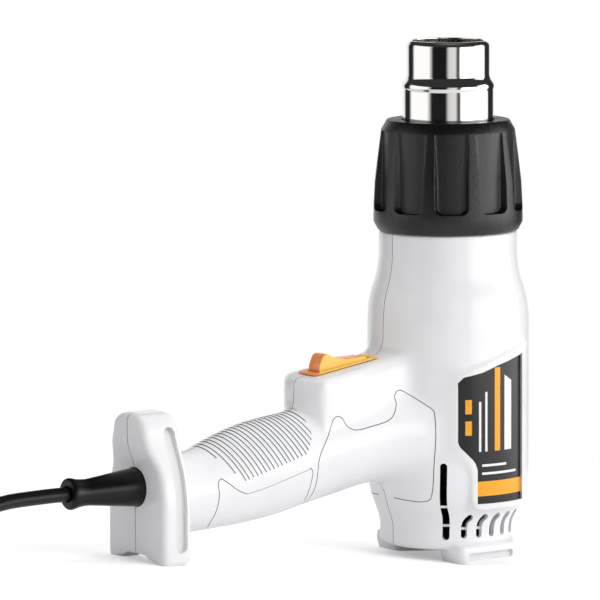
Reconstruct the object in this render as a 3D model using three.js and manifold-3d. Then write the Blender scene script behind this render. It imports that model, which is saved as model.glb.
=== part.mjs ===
// Hot air tool standing on its rear end, in millimetres, +Z up.
// Inside the tool group Z runs up the barrel's axis, -X along the grip and -Y is the labelled side.
import * as THREE from 'three';
import { mergeVertices } from 'three/addons/utils/BufferGeometryUtils.js';
import Module from 'manifold-3d';

const wasm = await Module();
wasm.setup();

// Clearances
const seatGap = 0.3;
const partingGap = 0.3;
const pressGap = 0.05;
const runGap = 1.5;

// Stance: the barrel leans this many degrees towards the grip when the tool stands on a table
const lean = 5;

// Barrel of the casing, from the rear end up
const wall = 2.6;
const barrelRadius = 34.2;
const neckRadius = 29.15;
const rearRadius = 28.9;
const rearEdge = 6.8;
const rearBand = 11;
const taperLength = 10.5;
const barrelLength = 80.3;
const shoulderLength = 14.9;
const neckLength = 15.4;
const spigotLength = 26;
const spigotWall = 2.4;

// Feet on the two sides of the rear end
const footWidth = 31;
const footSole = 23;
const footSpread = 31;
const footInnerReach = 15;
const footHeight = 8.6;
const footSlotLength = 24;
const footSlotHeight = 3.1;
const footSlotDepth = 2.4;

// Vents
const longVentWidth = 3;
const longVentHeight = 31;
const longVentAngle = 40;
const shortVentCount = 5;
const shortVentWidth = 2.6;
const shortVentHeight = 10.5;
const shortVentPitch = 13;
const ventSill = 5;

// Collar, the black heat guard
const collarHeight = 46.3;
const collarRadius = 31.4;
const collarTopRadius = 25.7;
const collarWall = 3.2;
const fluteCount = 10;
const fluteWidth = 14.8;
const fluteDepth = 2.6;
const fluteLength = 33;
const fluteTurn = -34;
const fluteCorner = 3;
const fluteTaper = 0.72;

// Steel outlet
const lowerTubeRadius = 19.15;
const lowerTubeReach = 14.8;
const stepHeight = 3;
const upperTubeRadius = 17.5;
const upperTubeReach = 15.3;
const tubeWall = 0.9;
const rimRoll = 1.6;
const flangeWidth = 4.5;
const flangeThickness = 1.5;
const guardDrop = 4;
const guardThickness = 1.6;
const guardSpokes = 8;

// Heater
const seatDrop = 13;
const baseThickness = 5;
const micaWall = 0.8;
const finCount = 4;
const finThickness = 1.4;
const wireDiameter = 1.1;
const coilTurns = 11;
const coilClearance = 2.2;
const cutoutRadius = 4.2;
const cutoutThickness = 4;

// Blower
const fanRise = 1;
const fanHeight = 12;
const fanBlades = 9;
const bladeThickness = 1.4;
const hubRadius = 7;
const shaftRadius = 1.6;
const motorRadius = 13.9;
const fanToMotor = 5;
const mountHeight = 8;
const mountRingWall = 2;
const boardThickness = 1.6;
const boardSpace = 8;

// Grip, measured out from the barrel's axis
const gripReach = 145;
const gripHalfWidth = 17;
const gripRearLow = 23;
const gripRearHigh = 56;
const gripMiddleLow = 25.7;
const gripMiddleHigh = 67.3;
const gripRootLow = 36;
const gripRootHigh = 76;
const gripRoundness = 2.2;

// Switch block on the grip
const blockReach = 80;
const blockHalfWidth = 14.5;
const blockBulge = 5.5;
const blockRearTop = 81.8;
const blockSlope = 8.8;

// Rocker switch
const switchReach = 56.9;
const bezelLength = 33.6;
const bezelWidth = 12.5;
const bezelRise = 0.8;
const bezelRim = 2.1;
const bezelEnd = 3;
const switchDepth = 20;
const switchLip = 0.8;
const rockerPeak = 7.2;
const rockerSaddle = 4.3;
const rockerLowHump = 2.4;
const rockerDepth = 8;
const wellDepth = 11;
const trunnionRadius = 1.5;

// End plate of the grip
const plateThickness = 14;
const plateLobe = 3.7;
const plateCorner = 5;
const plateTop = 74.5;
const plateTopHalfWidth = 11.3;
const plateBottomHalfWidth = 21;
const plateNeckTop = 62;
const plateNeckBottom = 42;
const plateArchHeight = 20;
const plateArchHalfWidth = 10;

// Cord, its sleeve and its clamp
const cordDiameter = 6;
const cordHeight = 44;
const sleeveLength = 33;
const sleeveRearRadius = 7.9;
const sleeveMouthRadius = 5.4;
const lipRadius = 6.6;
const lipLength = 5;
const sleeveFlangeRadius = 10.5;
const sleeveFlangeThickness = 3;
const clampReach = 122;
const clampWidth = 9;
const clampThickness = 3.2;
const tailLength = 34;
const leadDiameter = 2.4;
const leadStep = 10;
const leadSide = 4;
const leadDrop = 7;
const motorSide = 9;

// Screws
const screwRadius = 1.5;
const screwHeadRadius = 3;
const screwHeadHeight = 2.2;
const screwSeat = 8;
const screwLength = 17;
const bossRadius = 3.6;
const clampScrewLength = 12;

// Sticker on the near side of the barrel
const labelThickness = 0.35;
const labelLeft = 17.9;
const labelRight = 14.2;
const labelFoot = 10.3;
const labelLow = 27;
const labelHigh = 89;
const labelStep = 16.6;
const labelShoulder = 25;
const labelTopDrop = 4;
const labelSideDrop = 10.8;

// Cord put away beside the tool
const coilInnerRadius = 23.5;
const coilLoops = 8.75;
const coilLayers = 4;
const coilPitch = 6.8;
const coilCentre = new THREE.Vector2(-216, 32);
const coilTail = 4;
const coilBend = 0.1;
const plugBend = 27;
const plugClimb = 30;

// Plug
const plugLength = 36;
const plugWidth = 35;
const plugHeight = 26;
const plugSleeveLength = 18;
const plugSleeveRadius = 4.6;
const pinRadius = 2.4;
const pinLength = 19;
const pinSpacing = 19;

// Heights along the barrel's axis that follow from the sizes above
const taperStart = rearEdge + rearBand;
const barrelStart = taperStart + taperLength;
const barrelEnd = barrelStart + barrelLength;
const neckStart = barrelEnd + shoulderLength;
const neckEnd = neckStart + neckLength;
const spigotEnd = neckEnd + spigotLength;
const spigotRadius = neckRadius - spigotWall;
const collarBottom = neckEnd + seatGap;
const collarTop = collarBottom + collarHeight;
const lowerTubeEnd = collarTop + lowerTubeReach;
const upperTubeStart = lowerTubeEnd + stepHeight;
const outletEnd = upperTubeStart + upperTubeReach;
const heaterSeat = barrelEnd - seatDrop;
const innerRadius = barrelRadius - wall;
const fanStart = barrelStart + fanRise;
const fanEnd = fanStart + fanHeight;
const motorStart = fanEnd + fanToMotor;
const motorEnd = heaterSeat - baseThickness - boardSpace - boardThickness;
const fanRadius = innerRadius - runGap;
const micaRadius = upperTubeRadius - tubeWall - seatGap;
const plateFront = -gripReach;
const plateBack = plateFront - plateThickness;
const leanSlope = Math.tan(THREE.MathUtils.degToRad(lean));

// Rubber, plastic and metal finishes
function finish(color, roughness, metalness = 0) {
  return new THREE.MeshStandardMaterial({ color, roughness, metalness });
}
const whitePlastic = finish(0xeeefef, 0.22);
const blackPlastic = finish(0x1b1b1c, 0.5);
const polishedSteel = finish(0xc4c2c0, 0.12, 1);
const amberPlastic = finish(0xf39a1c, 0.25);
const innerPlastic = finish(0x3a3d40, 0.6);
const rubber = finish(0x171717, 0.6);
const zincSteel = finish(0xa8a9ab, 0.35, 1);
const ceramic = finish(0xe8e2d4, 0.8);
const mica = finish(0xb9a981, 0.7);
const wireMetal = finish(0x8d8780, 0.4, 1);
const boardGreen = finish(0x2c6b46, 0.6);
const brownInsulation = finish(0x7a4a2a, 0.5);
const blueInsulation = finish(0x2a4f8a, 0.5);
const labelFilm = finish(0x222222, 0.35);

// Solids: a closed three.js geometry goes in, a solid that can be cut comes out
function solid(geometry) {
  const bare = geometry.index ? geometry.toNonIndexed() : geometry.clone();
  bare.deleteAttribute('normal');
  bare.deleteAttribute('uv');
  const merged = mergeVertices(bare, 1e-4);
  const corners = merged.index.array;
  const kept = [];
  for (let i = 0; i < corners.length; i += 3) {
    const [a, b, c] = corners.slice(i, i + 3);
    if (a !== b && b !== c && c !== a) {
      kept.push(a, b, c);
    }
  }
  const mesh = new wasm.Mesh({
    numProp: 3,
    vertProperties: new Float32Array(merged.attributes.position.array),
    triVerts: new Uint32Array(kept),
  });
  return new wasm.Manifold(mesh);
}

function geometryOf(body) {
  const mesh = body.getMesh();
  const geometry = new THREE.BufferGeometry();
  geometry.setAttribute('position', new THREE.BufferAttribute(mesh.vertProperties, 3));
  geometry.setIndex(new THREE.BufferAttribute(mesh.triVerts, 1));
  geometry.computeVertexNormals();
  return geometry;
}

function joined(bodies) {
  return bodies.reduce((whole, body) => whole.add(body));
}

function without(body, cutters) {
  return cutters.reduce((left, cutter) => left.subtract(cutter), body);
}

// Simple bodies, all with their length along +Z unless turned
function at(geometry, x, y, z) {
  return geometry.translate(x, y, z);
}

function block(x, y, z) {
  return new THREE.BoxGeometry(x, y, z);
}

function rod(radius, length, sides = 16) {
  return new THREE.CylinderGeometry(radius, radius, length, sides).rotateX(Math.PI / 2);
}

function rodAlongY(radius, length, sides = 12) {
  return new THREE.CylinderGeometry(radius, radius, length, sides);
}

function turned(profile, sides = 32) {
  const points = profile.map(([radius, height]) => new THREE.Vector2(radius, height));
  return new THREE.LatheGeometry(points, sides).rotateX(Math.PI / 2);
}

function ring(outer, inner, bottom, top, sides = 28) {
  const profile = [[outer, bottom], [outer, top], [inner, top], [inner, bottom], [outer, bottom]];
  return turned(profile, sides);
}

function polygon(points) {
  return new THREE.Shape(points.map(([x, y]) => new THREE.Vector2(x, y)));
}

function extruded(shape, depth, curveSegments = 8) {
  return new THREE.ExtrudeGeometry(shape, { depth, bevelEnabled: false, curveSegments });
}

// A flat outline in X and Z, given its thickness across Y about the middle plane
function plateInXZ(shape, width, curveSegments = 8) {
  return extruded(shape, width, curveSegments).rotateX(Math.PI / 2).translate(0, width / 2, 0);
}

// An outline in Y and Z, given its thickness along X from the place where it starts
function plateInYZ(shape, start, thickness, curveSegments = 8) {
  const geometry = extruded(shape, thickness, curveSegments);
  geometry.applyMatrix4(new THREE.Matrix4().makeBasis(
    new THREE.Vector3(0, 1, 0), new THREE.Vector3(0, 0, 1), new THREE.Vector3(1, 0, 0)));
  return geometry.translate(start, 0, 0);
}

function circleShape(radius, sides) {
  const points = [];
  for (let i = 0; i < sides; i++) {
    const angle = (i + 0.5) / sides * 2 * Math.PI;
    points.push([radius * Math.cos(angle), radius * Math.sin(angle)]);
  }
  return polygon(points);
}

function tube(curve, radius, sides, steps) {
  return new THREE.ExtrudeGeometry(circleShape(radius, sides), { steps, extrudePath: curve });
}

// Stations along X joined into one skin; each station is a rounded outline in Y and Z
function loft(stations, power, sides = 24) {
  const positions = [];
  const faces = [];
  stations.forEach(({ x, low, high, half }) => {
    for (let i = 0; i < sides; i++) {
      const angle = i / sides * 2 * Math.PI;
      const across = Math.sign(Math.cos(angle)) * Math.abs(Math.cos(angle)) ** (2 / power);
      const up = Math.sign(Math.sin(angle)) * Math.abs(Math.sin(angle)) ** (2 / power);
      positions.push(x, half * across, (low + high) / 2 + (high - low) / 2 * up);
    }
  });
  for (let s = 0; s + 1 < stations.length; s++) {
    for (let i = 0; i < sides; i++) {
      const a = s * sides + i;
      const b = s * sides + (i + 1) % sides;
      faces.push(a, b, a + sides, b, b + sides, a + sides);
    }
  }
  const last = (stations.length - 1) * sides;
  for (let i = 1; i + 1 < sides; i++) {
    faces.push(0, i + 1, i, last, last + i, last + i + 1);
  }
  const geometry = new THREE.BufferGeometry();
  geometry.setAttribute('position', new THREE.Float32BufferAttribute(positions, 3));
  geometry.setIndex(faces);
  return geometry;
}

// The plane that the tool stands on, and everything under it
function underTable() {
  const size = 600;
  const body = at(block(size, size, size), 0, 0, -size / 2);
  body.rotateY(THREE.MathUtils.degToRad(lean));
  return solid(body);
}

// Places on the sloping top of the switch block
const slope = THREE.MathUtils.degToRad(blockSlope);
const switchBase = blockRearTop + (blockReach - switchReach) * Math.tan(slope);
function onBlock(geometry) {
  return geometry.rotateY(-slope).translate(-switchReach, 0, switchBase);
}

// Casing
function gripStations(shrink) {
  const table = [
    [gripReach + plateThickness * 0.5, gripRearLow, gripRearHigh, 0.9],
    [gripReach - plateThickness * 0.5, gripRearLow, gripRearHigh, 0.9],
    [gripReach * 0.88, gripRearLow + 0.3, gripRearHigh + 2.4, 0.94],
    [gripReach * 0.77, gripMiddleLow - 1.7, gripMiddleHigh - 3.2, 0.99],
    [gripReach * 0.66, gripMiddleLow, gripMiddleHigh, 1],
    [gripReach * 0.54, gripMiddleLow + 3.6, gripMiddleHigh + 2, 1],
    [gripReach * 0.41, gripRootLow - 3.1, gripRootHigh - 3, 1.03],
    [gripReach * 0.31, gripRootLow - 0.2, gripRootHigh, 1.09],
    [gripReach * 0.22, gripRootLow + 4, gripRootHigh + 2, 1.2],
    [gripReach * 0.05, gripRootLow + 8, gripRootHigh + 2, 1.2],
  ];
  return table.map(([out, low, high, share]) => ({
    x: -out,
    low: low + shrink,
    high: high - shrink,
    half: gripHalfWidth * share - shrink,
  }));
}

function switchBlockBody(shrink) {
  const inner = barrelRadius * 0.5;
  const rear = blockReach - shrink;
  const half = blockHalfWidth - shrink;
  const top = blockRearTop - shrink;
  const floor = gripMiddleHigh - 12;
  const rise = (blockReach - inner) * Math.tan(slope);
  const side = polygon([
    [-rear, floor],
    [-inner, floor],
    [-inner, top + rise],
    [-rear + 2, top + 0.3],
    [-rear, top - 2],
  ]);
  const plan = new THREE.Shape();
  plan.moveTo(-inner, -half);
  plan.lineTo(-inner, half);
  plan.lineTo(-rear + blockBulge + 4, half);
  plan.quadraticCurveTo(-rear + blockBulge + 0.5, half, -rear + blockBulge - 1, half * 0.78);
  plan.quadraticCurveTo(-rear, half * 0.4, -rear, 0);
  plan.quadraticCurveTo(-rear, -half * 0.4, -rear + blockBulge - 1, -half * 0.78);
  plan.quadraticCurveTo(-rear + blockBulge + 0.5, -half, -rear + blockBulge + 4, -half);
  const upright = solid(at(extruded(plan, 60, 4), 0, 0, floor - 5));
  return solid(plateInXZ(side, 2 * half + 2)).intersect(upright);
}

function endPlateShape() {
  const bottom = gripReach * leanSlope - 0.6;
  const wide = plateBottomHalfWidth;
  const slim = plateTopHalfWidth;
  const top = plateTop;
  const arch = plateArchHalfWidth;
  const shape = new THREE.Shape();
  shape.moveTo(-wide + plateCorner, bottom);
  shape.lineTo(-arch - 4, bottom);
  shape.lineTo(-arch, plateArchHeight);
  shape.lineTo(arch, plateArchHeight);
  shape.lineTo(arch + 4, bottom);
  shape.lineTo(wide - plateCorner, bottom);
  shape.quadraticCurveTo(wide, bottom, wide, bottom + plateCorner);
  shape.lineTo(wide, plateNeckBottom - 4);
  shape.bezierCurveTo(wide, plateNeckBottom + 6, slim, plateNeckTop - 6, slim, plateNeckTop + 2);
  shape.bezierCurveTo(slim, top - 3, slim * 0.6, top, 0, top);
  shape.bezierCurveTo(-slim * 0.6, top, -slim, top - 3, -slim, plateNeckTop + 2);
  shape.bezierCurveTo(-slim, plateNeckTop - 6, -wide, plateNeckBottom + 6, -wide, plateNeckBottom - 4);
  shape.lineTo(-wide, bottom + plateCorner);
  shape.quadraticCurveTo(-wide, bottom, -wide + plateCorner, bottom);
  return shape;
}

// End plate: its upper lobe swells backwards
function endPlateBody() {
  const back = plateBack;
  const lobe = back - plateLobe;
  const side = polygon([
    [plateFront, 0],
    [plateFront, plateTop - 5],
    [plateFront - 2, plateTop - 1.2],
    [plateFront - 5, plateTop],
    [lobe + 6, plateTop],
    [lobe + 2, plateTop - 2.4],
    [lobe, plateTop - 7],
    [lobe, plateNeckTop],
    [back, plateNeckTop - 9],
    [back, 0],
  ]);
  const slab = solid(plateInYZ(endPlateShape(), lobe - 1, plateThickness + plateLobe + 2, 4));
  return slab.intersect(solid(plateInXZ(side, 2 * plateBottomHalfWidth + 10)));
}

function barrelOutside() {
  return solid(turned([
    [0, rearEdge],
    [rearRadius - 1.2, rearEdge],
    [rearRadius, rearEdge + 1.2],
    [rearRadius, taperStart],
    [rearRadius + 2.6, taperStart + taperLength * 0.45],
    [barrelRadius - 0.8, barrelStart - 2],
    [barrelRadius, barrelStart],
    [barrelRadius, barrelEnd],
    [barrelRadius - 0.8, barrelEnd + 3.2],
    [neckRadius + 1, neckStart - 3.2],
    [neckRadius, neckStart],
    [neckRadius, neckEnd],
    [spigotRadius, neckEnd],
    [spigotRadius, spigotEnd],
    [0, spigotEnd],
  ], 40));
}

function barrelInside() {
  const mouth = lowerTubeRadius + runGap;
  return solid(turned([
    [0, rearEdge + wall],
    [rearRadius - wall, rearEdge + wall],
    [rearRadius - wall, taperStart + 0.6],
    [innerRadius, barrelStart + 0.6],
    [innerRadius, barrelEnd - 0.6],
    [spigotRadius - wall, neckStart - 1.2],
    [spigotRadius - wall, spigotEnd - wall],
    [mouth, spigotEnd - wall],
    [mouth, spigotEnd + 1],
    [0, spigotEnd + 1],
  ], 28));
}

function foot(side) {
  const sole = footSole / 2;
  const half = footWidth / 2;
  const shape = polygon([
    [-sole, -4], [sole, -4], [half, rearEdge - 1.5], [half, footHeight], [-half, footHeight], [-half, rearEdge - 1.5],
  ]);
  const thick = footSpread - footInnerReach;
  return solid(at(plateInXZ(shape, thick), 0, side * (footSpread - thick / 2), 0));
}

function footSlot(side) {
  const middle = footHeight * 0.5;
  const body = block(footSlotLength, 2 * footSlotDepth, footSlotHeight);
  return solid(at(body, 0, side * footSpread, middle));
}

function ventCutters(side) {
  const cutters = [];
  const reach = barrelRadius * 0.5;
  function cutter(width, height, middle, angle) {
    const body = at(block(width, reach, height), 0, -barrelRadius, middle);
    body.rotateZ(THREE.MathUtils.degToRad(angle));
    if (side > 0) {
      body.scale(1, -1, 1);
      body.setIndex(Array.from(body.index.array).reverse());
    }
    return solid(body);
  }
  const sill = rearEdge + ventSill;
  cutters.push(cutter(longVentWidth, longVentHeight, sill + longVentHeight / 2, -longVentAngle));
  for (let i = 0; i < shortVentCount; i++) {
    const angle = (i - (shortVentCount - 1) / 2) * shortVentPitch + 4;
    cutters.push(cutter(shortVentWidth, shortVentHeight, sill + shortVentHeight / 2, angle));
  }
  return cutters;
}

// Places of the screws that close the casing, as X and Z on the middle plane
const neckBossReach = (lowerTubeRadius + spigotRadius) / 2 + 1;
const screwPlaces = [
  [neckBossReach, neckStart - 12],
  [-neckBossReach, neckStart - 12],
  [innerRadius - bossRadius - 1.2, heaterSeat - 10],
  [rearRadius * 0.7, rearEdge + wall + bossRadius * 0.8],
  [-rearRadius * 0.7, rearEdge + wall + bossRadius * 0.8],
  [-switchReach, gripRootLow + 4.5],
  [-gripReach + 9, gripRearLow + wall + bossRadius * 0.8],
  [-gripReach + 9, gripRearHigh - wall - bossRadius * 0.8],
];
const clampScrewPlaces = [
  [-clampReach, cordHeight + cordDiameter / 2 + screwHeadRadius + 1],
  [-clampReach, cordHeight - cordDiameter / 2 - screwHeadRadius - 1],
];
const clampSeat = cordDiameter / 2 - 0.4;

function casing() {
  const outside = joined([
    barrelOutside(),
    solid(loft(gripStations(0), gripRoundness)),
    switchBlockBody(0),
    endPlateBody(),
    foot(-1),
    foot(1),
  ]);
  const gripHollow = solid(loft(gripStations(wall), gripRoundness));
  const plateWall = solid(at(block(plateThickness, 100, 100), plateFront - plateThickness / 2, 0, cordHeight));
  const inside = joined([
    barrelInside(),
    gripHollow.subtract(plateWall),
    switchBlockBody(wall),
  ]);
  const seatRing = solid(ring(innerRadius + 0.5, lowerTubeRadius + 2, heaterSeat - 3, heaterSeat + 4.5));
  const flangeRoom = lowerTubeRadius + flangeWidth + seatGap;
  const seatGroove = solid(ring(flangeRoom, lowerTubeRadius, heaterSeat - seatGap,
    heaterSeat + flangeThickness + seatGap));
  const seat = seatRing.subtract(seatGroove);
  const switchHole = solid(onBlock(at(block(bezelLength - 2 * switchLip, bezelWidth - 2 * switchLip, 30), 0, 0, 0)));
  const sleeveHole = solid(sleeveGeometry(seatGap));
  return { outside, inside, seat, switchHole, sleeveHole };
}

function boss(side, [x, z], height = 0) {
  const length = 40;
  const start = height + partingGap / 2;
  return solid(at(rodAlongY(bossRadius, length), x, side * (start + length / 2), z));
}

function screwRoom(side, [x, z]) {
  if (side < 0) {
    const depth = screwLength - screwSeat + 1;
    return solid(at(rodAlongY(screwRadius + pressGap, 2 * depth, 12), x, 0, z));
  }
  const shank = solid(at(rodAlongY(screwRadius + 0.3, 4 * screwSeat, 12), x, 0, z));
  const head = solid(at(rodAlongY(screwHeadRadius + 0.4, 60), x, screwSeat + 30, z));
  return shank.add(head);
}

function casingHalf(side) {
  const { outside, inside, seat, switchHole, sleeveHole } = casing();
  const big = 600;
  const nearHalf = solid(at(block(big, big, big), 0, side * (big + partingGap) / 2, 0));
  const shell = outside.subtract(inside);
  const posts = joined(screwPlaces.map((place) => boss(side, place))).intersect(outside);
  let half = shell.add(seat.intersect(outside)).add(posts);
  if (side > 0) {
    const anvils = joined(clampScrewPlaces.map((place) => boss(side, place, 0)));
    half = half.add(anvils.intersect(outside));
  }
  half = half.intersect(nearHalf);
  const cutters = [
    underTable(),
    footSlot(side),
    ...ventCutters(side),
    switchHole,
    sleeveHole,
    ...screwPlaces.map((place) => screwRoom(side, place)),
  ];
  if (side > 0) {
    clampScrewPlaces.forEach(([x, z]) => {
      const bore = rodAlongY(screwRadius + pressGap, 2 * clampScrewLength, 12);
      cutters.push(solid(at(bore, x, 0, z)));
    });
    const barRoom = block(clampWidth + 1, 2 * (clampThickness + clampSeat), 26);
    cutters.push(solid(at(barRoom, -clampReach, 0, cordHeight)));
  }
  return without(half, cutters);
}

// Collar with its flutes
function collarBody() {
  const up = collarBottom;
  const top = collarTop;
  const outer = [
    [collarRadius - 2, up],
    [collarRadius, up + 2.4],
    [collarRadius, up + 11],
    [collarRadius - 0.6, up + 22],
    [collarRadius - 2.5, top - 9.5],
    [collarTopRadius + 2, top - 4.4],
    [collarTopRadius, top],
  ];
  const throat = lowerTubeRadius + 0.6;
  const inner = [
    [throat, top],
    [throat, top - collarWall],
    [collarTopRadius - collarWall - 1, top - collarWall],
    [spigotRadius + seatGap, top - collarHeight * 0.4],
    [spigotRadius + seatGap, up],
  ];
  const body = solid(turned([...outer, ...inner, outer[0]], 40));
  const cutters = [];
  for (let i = 0; i < fluteCount; i++) {
    const flute = fluteCutter();
    flute.rotateZ(THREE.MathUtils.degToRad(i * 360 / fluteCount + fluteTurn));
    cutters.push(solid(flute));
  }
  return without(body, cutters);
}

// One flute: a slanting pocket, flush with the collar's skin at the top and deepest at the bottom
function fluteCutter() {
  const corner = fluteCorner;
  const half = fluteWidth / 2;
  const shape = new THREE.Shape();
  shape.moveTo(-half + corner, 0);
  shape.lineTo(half - corner, 0);
  shape.absarc(half - corner, corner, corner, -Math.PI / 2, 0);
  shape.lineTo(half * fluteTaper, fluteLength);
  shape.lineTo(-half * fluteTaper, fluteLength);
  shape.lineTo(-half, corner);
  shape.absarc(-half + corner, corner, corner, Math.PI, 1.5 * Math.PI);
  const pocket = extruded(shape, 12, 3);
  pocket.rotateX(Math.PI / 2);
  pocket.rotateX(-Math.atan2(collarRadius - collarTopRadius - fluteDepth - 1.2, fluteLength));
  return at(pocket, 0, -collarRadius + fluteDepth, collarTop - 5 - fluteLength);
}

// Steel outlet: flange, lower tube, step and upper tube with a rim rolled inwards
function outletBody() {
  const low = heaterSeat;
  return turned([
    [lowerTubeRadius + flangeWidth, low],
    [lowerTubeRadius + flangeWidth, low + flangeThickness],
    [lowerTubeRadius, low + flangeThickness],
    [lowerTubeRadius, lowerTubeEnd],
    [upperTubeRadius, upperTubeStart],
    [upperTubeRadius, outletEnd - rimRoll],
    [upperTubeRadius - 1.1, outletEnd],
    [upperTubeRadius - 2.4, outletEnd],
    [upperTubeRadius - 2.4, outletEnd - tubeWall],
    [upperTubeRadius - tubeWall, outletEnd - rimRoll],
    [upperTubeRadius - tubeWall, upperTubeStart - 0.4],
    [lowerTubeRadius - tubeWall, lowerTubeEnd - 0.4],
    [lowerTubeRadius - tubeWall, low],
    [lowerTubeRadius + flangeWidth, low],
  ]);
}

function guardBody() {
  const outer = upperTubeRadius - tubeWall - seatGap;
  const top = outletEnd - guardDrop;
  const bottom = top - guardThickness;
  const rim = solid(ring(outer, outer - 2, bottom, top));
  const hub = solid(at(rod(4, guardThickness), 0, 0, (top + bottom) / 2));
  const bodies = [rim, hub];
  for (let i = 0; i < guardSpokes; i++) {
    const spoke = at(block(outer - 3, 1.6, guardThickness), (outer - 3) / 2 + 2, 0, (top + bottom) / 2);
    bodies.push(solid(spoke.rotateZ(i / guardSpokes * 2 * Math.PI)));
  }
  return joined(bodies);
}

// Heater: foot, mica cross, winding and sleeve
const heaterFoot = heaterSeat - baseThickness;
const sleeveStart = heaterSeat + seatGap;
const sleeveEnd = outletEnd - guardDrop - guardThickness - seatGap;
const coilRadius = micaRadius - micaWall - coilClearance;
const finRadius = coilRadius - wireDiameter / 2 - seatGap;
const formerStart = heaterSeat + seatGap;
const formerEnd = sleeveEnd - 6;

function heaterBaseBody() {
  const rim = lowerTubeRadius + 1.4;
  const body = solid(turned([
    [0, heaterFoot], [rim, heaterFoot], [rim, heaterSeat - seatGap], [0, heaterSeat - seatGap],
  ]));
  const holes = [];
  for (let i = 0; i < 6; i++) {
    const hole = at(rod(4, 3 * baseThickness, 12), rim * 0.62, 0, heaterSeat);
    holes.push(solid(hole.rotateZ((i + 0.5) / 6 * 2 * Math.PI)));
  }
  return without(body, holes);
}

function formerBody() {
  const length = formerEnd - formerStart;
  const middle = (formerStart + formerEnd) / 2;
  const fins = [];
  for (let i = 0; i < finCount / 2; i++) {
    const fin = at(block(2 * finRadius, finThickness, length), 0, 0, middle);
    fins.push(solid(fin.rotateZ(i / finCount * 2 * Math.PI)));
  }
  return joined(fins);
}

class Helix extends THREE.Curve {
  getPoint(t, target = new THREE.Vector3()) {
    const angle = t * coilTurns * 2 * Math.PI;
    const height = formerStart + 4 + t * (formerEnd - formerStart - 8);
    return target.set(coilRadius * Math.cos(angle), coilRadius * Math.sin(angle), height);
  }
}

// Blower
function fanBody() {
  const hubTop = fanEnd;
  const hub = solid(ring(hubRadius, shaftRadius + pressGap, fanStart, hubTop, 24));
  const bodies = [hub];
  for (let i = 0; i < fanBlades; i++) {
    const length = fanRadius - hubRadius + 1.5;
    const blade = block(length, bladeThickness, fanHeight * 1.1);
    blade.rotateX(THREE.MathUtils.degToRad(38));
    blade.translate(hubRadius - 1.5 + length / 2, 0, (fanStart + fanEnd) / 2);
    bodies.push(solid(blade.rotateZ(i / fanBlades * 2 * Math.PI)));
  }
  const envelope = solid(ring(fanRadius, shaftRadius + pressGap, fanStart, fanEnd, 24));
  return joined(bodies).intersect(envelope);
}

function motorBody() {
  const bore = shaftRadius + pressGap;
  return turned([
    [bore, motorStart],
    [motorRadius, motorStart],
    [motorRadius, motorEnd],
    [0, motorEnd],
    [0, motorStart + 16],
    [bore, motorStart + 16],
    [bore, motorStart],
  ], 32);
}

function mountBody() {
  const low = motorStart + 4;
  const outer = solid(ring(innerRadius - seatGap, innerRadius - seatGap - mountRingWall, low, low + mountHeight));
  const inner = solid(ring(motorRadius + seatGap + mountRingWall, motorRadius + seatGap, low, low + mountHeight));
  const arms = [];
  for (let i = 0; i < 3; i++) {
    const span = innerRadius - motorRadius - mountRingWall;
    const arm = at(block(span, 3, mountHeight), motorRadius + 1 + span / 2, 0, low + mountHeight / 2);
    arms.push(solid(arm.rotateZ((i + 0.5) / 3 * 2 * Math.PI)));
  }
  return joined([outer, inner, ...arms]);
}

// Switch: body under the block, bezel on top, rocker on two trunnions
const rockerHalf = bezelLength / 2 - bezelEnd - 0.9;
const rockerWidth = bezelWidth - 2 * bezelRim - 2 * seatGap;
const caseWidth = bezelWidth - 2 * switchLip - 2 * seatGap;
const pivotHeight = -trunnionRadius - 0.8;

function bezelBody() {
  const outer = solid(at(block(bezelLength, bezelWidth, bezelRise), 0, 0, bezelRise / 2 + seatGap));
  const window = block(bezelLength - 2 * bezelEnd, bezelWidth - 2 * bezelRim, 8 * bezelRise);
  return outer.subtract(solid(window));
}

function switchCase() {
  const length = bezelLength - 2 * switchLip - 2 * seatGap;
  const outer = solid(at(block(length, caseWidth, switchDepth), 0, 0, -switchDepth / 2));
  const well = block(bezelLength - 2 * bezelEnd, bezelWidth - 2 * bezelRim, 2 * wellDepth);
  const holes = solid(at(rodAlongY(trunnionRadius + pressGap, 2 * bezelWidth), 0, 0, pivotHeight));
  return without(outer, [solid(well), holes]);
}

// Rocker as it stands with its grip end up: a tall hump, a saddle and a low hump
function rockerBody() {
  const half = rockerHalf;
  const shape = new THREE.Shape();
  shape.moveTo(-half * 0.5, -rockerDepth);
  shape.lineTo(half * 0.5, -rockerDepth);
  shape.lineTo(half - 0.3, -rockerDepth * 0.25);
  shape.lineTo(half, 0.4);
  shape.quadraticCurveTo(half * 0.8, rockerLowHump + 0.3, half * 0.58, rockerLowHump);
  shape.bezierCurveTo(half * 0.2, rockerLowHump, 0, rockerSaddle - 1, -half * 0.27, rockerSaddle);
  shape.quadraticCurveTo(-half * 0.5, rockerPeak, -half * 0.7, rockerPeak);
  shape.quadraticCurveTo(-half + 0.3, rockerPeak * 0.8, -half + 0.2, 0.4);
  shape.lineTo(-half + 0.3, -rockerDepth * 0.25);
  const body = solid(plateInXZ(shape, rockerWidth, 5));
  const pins = solid(at(rodAlongY(trunnionRadius, caseWidth - 2 * pressGap), 0, 0, pivotHeight));
  return geometryOf(body.add(pins));
}

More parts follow.
